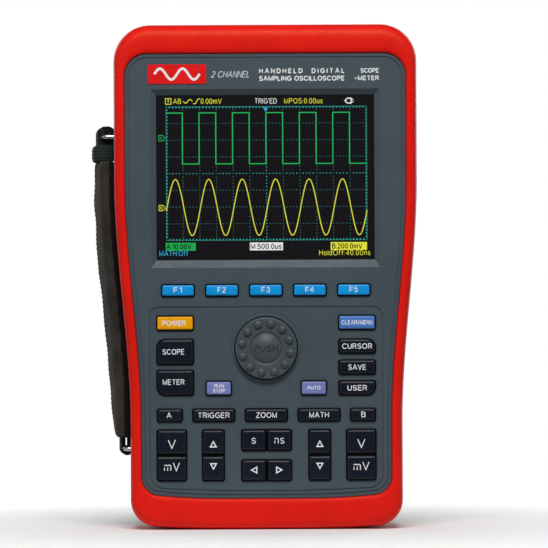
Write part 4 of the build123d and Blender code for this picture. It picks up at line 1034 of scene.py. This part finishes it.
DIAL_Z = 96.3
DIAL_FLAT, DIAL_CREST = 30.1, 32.0
DOME_R = 8.1
DOME_ROOT = 29.3        # the bottom of the crease round the dome
DOME_BALL = (DOME_R**2 + (DIAL_CREST - DOME_ROOT) ** 2) / (2 * (DIAL_CREST - DOME_ROOT))


def dome_height(r):
    """How far the dial's domed middle stands out at a radius."""
    return DIAL_CREST - DOME_BALL + math.sqrt(DOME_BALL**2 - r * r)


def turned(profile, x, z, segments):
    """A shell of revolution about an axis along Y through x and z, from (radius, depth) points."""
    loops = []
    for r, y in profile:
        angles = [2 * math.pi * k / segments for k in range(segments)]
        loops.append([(x + r * math.cos(a), -y, z + r * math.sin(a)) for a in angles])
    points, faces = capped(loops)
    return points, faces, [0] * len(faces)


def dial():
    """The turned knob: a rolled edge, twelve round bumps and a domed middle."""
    outer, roll = 16.45, 1.0
    profile = [(outer, 26.5), (outer, DIAL_FLAT + 0.1 - roll)]
    for a in (0.3, 0.6, 0.9, 1.2, 1.57):
        profile.append((outer - roll * (1 - math.cos(a)), DIAL_FLAT + 0.1 - roll * (1 - math.sin(a))))
    profile += [(14.8, DIAL_FLAT + 0.02), (12.0, DIAL_FLAT - 0.12), (9.6, DIAL_FLAT - 0.16)]
    profile += [(DOME_R + 0.5, DIAL_FLAT - 0.24), (DOME_R + 0.2, DIAL_FLAT - 0.5)]
    steps = 12
    for i in range(steps):
        r = DOME_R * math.cos(math.pi / 2 * i / steps)
        profile.append((r, dome_height(r)))
    profile.append((0.2, DIAL_CREST))
    parts = [turned(profile, 0, DIAL_Z, 120)]
    count, ring, bump_r, bump_rise, first = 12, 13.1, 2.3, 1.85, 19
    for number in range(count):
        angle = math.radians(first + 360 / count * number)
        rise = [math.pi / 2 * row / 9 for row in range(9)]
        bump = [(bump_r * math.cos(a), DIAL_FLAT - 0.15 + bump_rise * math.sin(a)) for a in rise]
        parts.append(turned(bump, ring * math.cos(angle), DIAL_Z + ring * math.sin(angle), 30))
    points, faces, chosen = merge(parts)
    piece = new_mesh("dial_cap", points, faces, [DIAL_GREY], "dial", chosen)
    auto_smooth(piece, 50)
    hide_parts("dial_knob")


def dial_gap_shade():
    """The black gap round the dial, as painted shade: a thin black sheet on the floor and the wall of its
    well stands in for the shadow in the deep gap.
    """
    inner, wall, thin = 15.8, 16.98, 0.06
    floor_y, lip_y = PANEL - 1.0 + 0.02, PANEL + 0.62
    section = [(inner, floor_y), (inner, floor_y + thin), (wall - thin, floor_y + thin), (wall - thin, lip_y),
               (wall, lip_y), (wall, floor_y)]
    loops = []
    segments = 120
    for r, y in section:
        angles = [2 * math.pi * k / segments for k in range(segments)]
        loops.append([(r * math.cos(a), -y, DIAL_Z + r * math.sin(a)) for a in angles])
    points, faces = bridge(loops)
    piece = new_mesh("dial_gap_painted_shade", points, faces, [KEY_SIDE])
    auto_smooth(piece, 40)


def dial_word():
    """The raised word on the domed middle, which follows the dome."""
    piece = printed("dial_word", write("PUSH", 0, 0, 3.6, 12.4, 0.42, 0.34), 0, DIAL_WORD, "dial", 0.3)
    for vertex in piece.data.vertices:
        x, depth, z = vertex.co / MM
        vertex.co = Vector((x, depth - dome_height(math.hypot(x, z)) - 0.14, z + DIAL_Z)) * MM


DIAL_WORD = moulded("dial_word", (0.022, 0.028, 0.033), (0.018, 0.023, 0.028), 0.4)
dial()
dial_gap_shade()
dial_word()

# ---------------------------------------------------------------- hand strap

STRAP_Y = 2.0
PAD_WIDTH, PAD_THICK = 36.0, 8.2
WEB_HALF = 10.0
SEAM_U, END_SEAM = 13.7, 4.2    # the long seams' distance from the middle, and the end seams' from the ends
VOXEL, PUFF = 1.5, 0.9          # the simulated cloth's mesh size, and how far it may puff out
CLOTH_MASS, FOAM_PRESSURE, CLOTH_FRAMES = 0.05, 4.0, 20
LONG_HOLD, END_HOLD = 1.0, 0.6  # how far from a seam's middle the cloth is held
# The sleeve's z, its middle's x and its lean: its front edge lies along the body.
PAD_LINE = [
    (196.2, -86.1, 7.5), (172.0, -86.0, 8.0), (150.0, -84.9, 8.5), (128.0, -82.8, 8.4),
    (106.0, -80.6, 7.8), (78.0, -78.5, 7.2), (48.6, -76.9, 3.5),
]


def pad_place(z):
    """The sleeve's middle x and its lean in degrees at a height."""
    for (high, x1, lean1), (low, x0, lean0) in zip(PAD_LINE, PAD_LINE[1:]):
        if low <= z <= high:
            share = (z - low) / (high - low)
            return x0 + (x1 - x0) * share, lean0 + (lean1 - lean0) * share
    return PAD_LINE[0][1:] if z > PAD_LINE[0][0] else PAD_LINE[-1][1:]


def leaned(x, lean, u, v):
    """A point u along the strap's width and v out from the body, as x and y."""
    tilt = math.radians(lean)
    return x - u * math.sin(tilt) - v * math.cos(tilt), STRAP_Y + u * math.cos(tilt) - v * math.sin(tilt)


def stadium(flat, radius, arc_steps=14, flat_steps=22):
    """A flattened ring of (u, v) points: two flats joined by half circles."""
    ring = [(-flat + radius * math.cos(a), radius * math.sin(a))
            for a in [math.radians(-90 - 180 * i / arc_steps) for i in range(arc_steps)]]
    ring += [(-flat + 2 * flat * i / flat_steps, radius) for i in range(flat_steps)]
    ring += [(flat + radius * math.cos(a), radius * math.sin(a))
             for a in [math.radians(90 - 180 * i / arc_steps) for i in range(arc_steps)]]
    ring += [(flat - 2 * flat * i / flat_steps, -radius) for i in range(flat_steps)]
    return ring


def flat_place(point):
    """The opposite of leaned: how far a point in millimetres is across the strap and out from it."""
    x, lean = pad_place(point.z)
    tilt = math.radians(lean)
    dx, dy = point.x - x, point.y - STRAP_Y
    return dy * math.cos(tilt) - dx * math.sin(tilt), -dx * math.cos(tilt) - dy * math.sin(tilt)


def held_by_seam(u, z):
    """Whether the sleeve is held here: along its two long seams, and from each end to its seam."""
    top, low = PAD_LINE[0][0], PAD_LINE[-1][0]
    on_long_seam = abs(abs(u) - SEAM_U) < LONG_HOLD and low + END_SEAM < z < top - END_SEAM
    return on_long_seam or min(z - low, top - z) < END_SEAM + END_HOLD


def stuffed(piece):
    """Fills the sleeve by cloth simulation: foam presses the cloth out between its seams."""
    scene = bpy.context.scene
    remesh = piece.modifiers.new("remesh", "REMESH")
    remesh.mode = "VOXEL"
    remesh.voxel_size = VOXEL * MM
    apply_modifiers(piece)
    start = [vertex.co.copy() for vertex in piece.data.vertices]
    held = piece.vertex_groups.new(name="held")
    for number, place in enumerate(start):
        u, _ = flat_place(place / MM)
        if held_by_seam(u, place.z / MM):
            held.add([number], 1.0, "REPLACE")
    cloth = piece.modifiers.new("cloth", "CLOTH")
    cloth.settings.quality = 6
    cloth.settings.mass = CLOTH_MASS
    cloth.settings.use_pressure = True
    cloth.settings.uniform_pressure_force = FOAM_PRESSURE
    cloth.settings.effector_weights.gravity = 0.0
    cloth.settings.vertex_group_mass = "held"
    cloth.collision_settings.use_collision = False
    for frame_number in range(1, CLOTH_FRAMES + 1):
        scene.frame_set(frame_number)
    graph = bpy.context.evaluated_depsgraph_get()
    pressed = [vertex.co.copy() for vertex in piece.evaluated_get(graph).data.vertices]
    piece.modifiers.clear()
    scene.frame_set(1)
    furthest = PUFF * MM
    for vertex, before, after in zip(piece.data.vertices, start, pressed):
        move = after - before
        if move.length > furthest:
            move = move.normalized() * furthest
        vertex.co = before + move
    finer = piece.modifiers.new("finer", "SUBSURF")
    finer.levels = finer.render_levels = 1
    apply_modifiers(piece)
    piece.vertex_groups.clear()


def sleeve():
    """The padded sleeve: mesh cloth round its front, edges and back, with a plain lining on the hand's side,
    coloured very dark as painted shade for the shadow between the sleeve and the body. It is gathered a
    little at its ends and rumpled along its length."""
    rows = 150
    top, low = PAD_LINE[0][0], PAD_LINE[-1][0]
    random.seed(4)
    waves = []
    for _ in range(7):
        rise, length = random.uniform(0.05, 0.13), random.uniform(16, 44)
        waves.append((rise, length, random.uniform(0, 6.28), random.uniform(-3, 3)))
    radius = PAD_THICK / 2
    ring = stadium(PAD_WIDTH / 2 - radius, radius)
    loops = []
    for row in range(rows + 1):
        z = low + (top - low) * row / rows
        x, lean = pad_place(z)
        end = min(z - low, top - z)
        pinch = 1 - 0.14 * math.exp(-end / 1.2)
        loop = []
        for u, v in ring:
            share = u / (PAD_WIDTH / 2)
            crown = 0.40 * (1 - share * share) * (1 - math.exp(-end / 7.0))
            rumple = 0
            for rise, length, shift, skew in waves:
                rumple += rise * math.sin(2 * math.pi * z / length + shift + skew * share)
            out = v * pinch + math.copysign(1, v) * (crown + rumple * abs(v) / radius)
            loop.append((*leaned(x, lean, u * (1 - 0.012 * math.exp(-end / 3.0)), out), z))
        loops.append(loop)
    points, faces = capped(loops)
    piece = new_mesh("strap_sleeve", points, faces, [FABRIC, LINING_AND_PAINTED_SHADE], CASE)
    stuffed(piece)
    mesh = piece.data
    while len(mesh.materials) < 2:
        mesh.materials.append(LINING_AND_PAINTED_SHADE)
    for face in mesh.polygons:
        place = face.center / MM
        _, v = flat_place(place)
        at_end = min(place.z - low, top - place.z) < 0.3
        # The hand's side and the ends take the lining, whose very dark colour is painted shade for the gap
        # between sleeve and body.
        face.material_index = 1 if v < -0.1 * radius or at_end else 0
        face.use_smooth = True
    auto_smooth(piece, 60)
    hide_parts("strap_pad")
    return piece


def stitches(padded):
    """Rows of thread along the sleeve's two long seams and across its ends, on its surface."""
    top, low = PAD_LINE[0][0], PAD_LINE[-1][0]
    pitch, length, thread, sink = 2.6, 1.7, 0.20, 0.12
    mesh = padded.data
    corners, faces = [vertex.co for vertex in mesh.vertices], [tuple(face.vertices) for face in mesh.polygons]
    surface = BVHTree.FromPolygons(corners, faces)
    parts = []

    def surface_out(z, u):
        """How far the sleeve's outer face stands out at a place."""
        x, lean = pad_place(z)
        far, near = (Vector((*leaned(x, lean, u, v), z)) * MM for v in (20.0, 0.0))
        hit = surface.ray_cast(far, (near - far).normalized())[0]
        return flat_place(hit / MM)[1]

    def stitch(z, u, along_z):
        x, lean = pad_place(z)
        out = surface_out(z, u) - sink
        loops = []
        for step in range(7):
            share = step / 6 - 0.5
            lift = 0.10 * math.cos(math.pi * share)
            fat = thread * math.sqrt(max(0.06, 1 - (2 * share) ** 4))
            du, dz = (0, share * length) if along_z else (share * length, 0)
            loop = []
            for k in range(8):
                a = 2 * math.pi * k / 8
                side, rise = fat * math.cos(a), fat * math.sin(a) + lift
                su, sz = (side, 0) if along_z else (0, side)
                px, py = leaned(x, lean, u + du + su, out + rise)
                loop.append((px, py, z + dz + sz))
            loops.append(loop)
        points, faces = capped(loops)
        parts.append((points, faces, [0] * len(faces)))

    for u in (-SEAM_U, SEAM_U):
        for number in range(int((top - low - 12) / pitch)):
            stitch(low + 6 + (number + 0.5) * pitch, u, True)
    for z in (low + END_SEAM, top - END_SEAM):
        for number in range(11):
            stitch(z, (number - 5) * pitch, False)
    points, faces, chosen = merge(parts)
    piece = new_mesh("strap_stitches", points, faces, [THREAD], CASE, chosen)


def band(path, thick, half, lean):
    """A strip of webbing along a path of (x, z) points, half as wide as said each side of the
    strap's middle. Its long edges are a little rounded."""
    across, out = math.sin(math.radians(lean)), math.cos(math.radians(lean))
    loops = []
    last = len(path) - 1
    for number, (x, z) in enumerate(path):
        x0, z0 = path[max(0, number - 1)]
        x1, z1 = path[min(last, number + 1)]
        length = math.hypot(x1 - x0, z1 - z0)
        nx, nz = -(z1 - z0) / length, (x1 - x0) / length
        section = []
        for u, v in ((-half, -0.25), (-half, 0.25), (-half + 0.35, 0.5), (0, 0.5), (half - 0.35, 0.5),
                     (half, 0.25), (half, -0.25), (half - 0.35, -0.5), (0, -0.5), (-half + 0.35, -0.5)):
            px, pz = x + nx * v * thick, z + nz * v * thick
            section.append((px - u * across, STRAP_Y + u * out, pz))
        loops.append(section)
    points, faces = capped(loops)
    return points, faces, [0] * len(faces)


def arch(left, right, foot, crown, radius):
    """A path up, over and down, or down, under and up where crown is below foot."""
    way = 1 if crown > foot else -1
    radius = min(radius, (right - left) / 2)
    turn = crown - way * radius
    path = [(left, foot + (turn - foot) * i / 4) for i in range(4)]
    path += [(left + radius - radius * math.cos(a), turn + way * radius * math.sin(a))
             for a in [math.pi / 2 * i / 8 for i in range(9)]]
    path += [(right - radius + radius * math.sin(a), turn + way * radius * math.cos(a))
             for a in [math.pi / 2 * i / 8 for i in range(9)]]
    path += [(right, foot + (turn - foot) * (3 - i) / 4) for i in range(4)]
    return path


def webbing_loops():
    """The webbing is wound round each bail, layer inside layer."""
    thick, step, lean = 1.08, 1.15, 5.0
    tighter = 0.9       # each layer's bend is tighter than the one outside it
    upper, lower = [], []
    for k in range(4):
        upper.append(arch(-89.8 + k * step, -81.3 - k * step, 198.0, 214.2 - k * step, 3.6 - k * tighter))
    for k in range(2):
        lower.append(arch(-77.85 + k * step, -72.7 - k * step, 50.0, 39.6 + k * step, 3.2 - k * tighter))
    points, faces, chosen = merge([band(path, thick, WEB_HALF, lean) for path in upper + lower])
    piece = new_mesh("strap_loops", points, faces, [TAPE], CASE, chosen)
    auto_smooth(piece, 40)
    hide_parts("strap_webbing")


def folded_end():
    """The webbing's folded end, with ridges across it, over the top of the sleeve."""
    middle_x, middle_z, half_x, half_z, half_y = -86.9, 200.1, 5.7, 4.6, 12.0
    round_off, ridge, corner, lean = 2.6, 1.75, 2.4, math.radians(5)
    loops = []
    rows = 44
    for row in range(rows + 1):
        rise = -half_z + 2 * half_z * row / rows
        edge = half_z - abs(rise)
        draw_in = round_off - math.sqrt(max(0, round_off**2 - (round_off - min(edge, round_off)) ** 2))
        dent = 0.28 * (0.5 - 0.5 * math.cos(2 * math.pi * rise / ridge)) * min(1, edge / 1.5)
        inset = draw_in * 0.8 + dent
        radii = [max(0.6, corner - inset)] * 4
        ring = rounded_rectangle(2 * (half_x - inset), 2 * (half_y - inset * 0.7), radii)
        z = middle_z + rise
        loops.append([(middle_x + px - py * math.sin(lean), STRAP_Y + py, z) for px, py in ring])
    points, faces = capped(loops)
    piece = new_mesh("strap_folded_end", points, faces, [KEEPER], CASE)
    auto_smooth(piece, 50)


# The lining's very dark colour is painted shade, for the shadow between the sleeve and the body.
LINING_AND_PAINTED_SHADE = webbing("strap_lining_painted_shade", (0.006, 0.006, 0.0055))
KEEPER = webbing("strap_keeper", (0.013, 0.020, 0.017))
stitches(sleeve())
webbing_loops()
folded_end()

# ---------------------------------------------------------------- stage, lights and camera

FRAME_SPAN = 290.5      # the view is this wide at the panel
VIEW_X, VIEW_Z = 4.35, 135.5
DISTANCE = 2600.0       # from the camera to the origin's depth
SENSOR = 36.0
ROLL = math.radians(0.27)
AMBIENT = 0.12          # how strongly the surround lights the object


def floor():
    """A round pale floor under the object."""
    radius, segments = FLOOR_RADIUS, 96
    angles = [2 * math.pi * i / segments for i in range(segments)]
    points = [(radius * math.cos(a), radius * math.sin(a), 0.0) for a in angles]
    mesh = bpy.data.meshes.new("floor")
    mesh.from_pydata([tuple(c * MM for c in p) for p in points], [], [tuple(range(segments))])
    mesh.materials.append(floor_paper())
    piece = bpy.data.objects.new("floor", mesh)
    bpy.context.scene.collection.objects.link(piece)


def area_light(name, place, target, size, power, colour=(1, 1, 1)):
    """A soft box at place, in millimetres, turned towards target."""
    light = bpy.data.lights.new(name, "AREA")
    light.shape = "RECTANGLE"
    light.size, light.size_y = size[0] * MM, size[1] * MM
    light.energy = power
    light.color = colour
    holder = bpy.data.objects.new(name, light)
    bpy.context.scene.collection.objects.link(holder)
    position = Vector(place) * MM
    holder.location = position
    holder.rotation_euler = (Vector(target) * MM - position).to_track_quat("-Z", "Y").to_euler()


def studio():
    """A bright even surround as the camera sees it, which lights the object only a little."""
    world = bpy.data.worlds.new("studio")
    world.use_nodes = True
    nodes, links = world.node_tree.nodes, world.node_tree.links
    lit = nodes["Background"]
    lit.inputs["Color"].default_value = (1, 1, 1, 1)
    lit.inputs["Strength"].default_value = AMBIENT
    seen = nodes.new("ShaderNodeBackground")
    seen.inputs["Color"].default_value = (1, 1, 1, 1)
    seen.inputs["Strength"].default_value = 1.0
    ray = nodes.new("ShaderNodeLightPath")
    mix = nodes.new("ShaderNodeMixShader")
    links.new(ray.outputs["Is Camera Ray"], mix.inputs["Fac"])
    links.new(lit.outputs["Background"], mix.inputs[1])
    links.new(seen.outputs["Background"], mix.inputs[2])
    links.new(mix.outputs["Shader"], nodes["World Output"].inputs["Surface"])
    bpy.context.scene.world = world


def lights():
    """A large soft box above and in front, a weak fill at each side, and two more behind."""
    body_middle = (0, 0, 130)
    fill_size, rear_size = (500, 900), (1000, 1000)
    area_light("key_light", (0, -950, 1150), (0, 0, 140), (760, 380), 17.5)
    area_light("fill_left", (-1200, -700, 300), body_middle, fill_size, 1.8)
    area_light("fill_right", (1200, -700, 350), body_middle, fill_size, 1.6)
    for name, side in (("rear_left", -1), ("rear_right", 1)):
        area_light(name, (side * 900, 1300, 500), body_middle, rear_size, 6.0)


def camera():
    lens = bpy.data.cameras.new("camera")
    lens.sensor_width = SENSOR
    lens.lens = SENSOR * (DISTANCE - PANEL) / FRAME_SPAN
    lens.clip_end = 100
    holder = bpy.data.objects.new("camera", lens)
    bpy.context.scene.collection.objects.link(holder)
    turn = Matrix.Rotation(math.pi / 2, 4, "X") @ Matrix.Rotation(-ROLL, 4, "Z")
    holder.matrix_world = Matrix.Translation(Vector((VIEW_X, -DISTANCE, VIEW_Z)) * MM) @ turn
    bpy.context.scene.camera = holder


floor()
studio()
lights()
camera()
bpy.context.scene.view_settings.view_transform = "Standard"
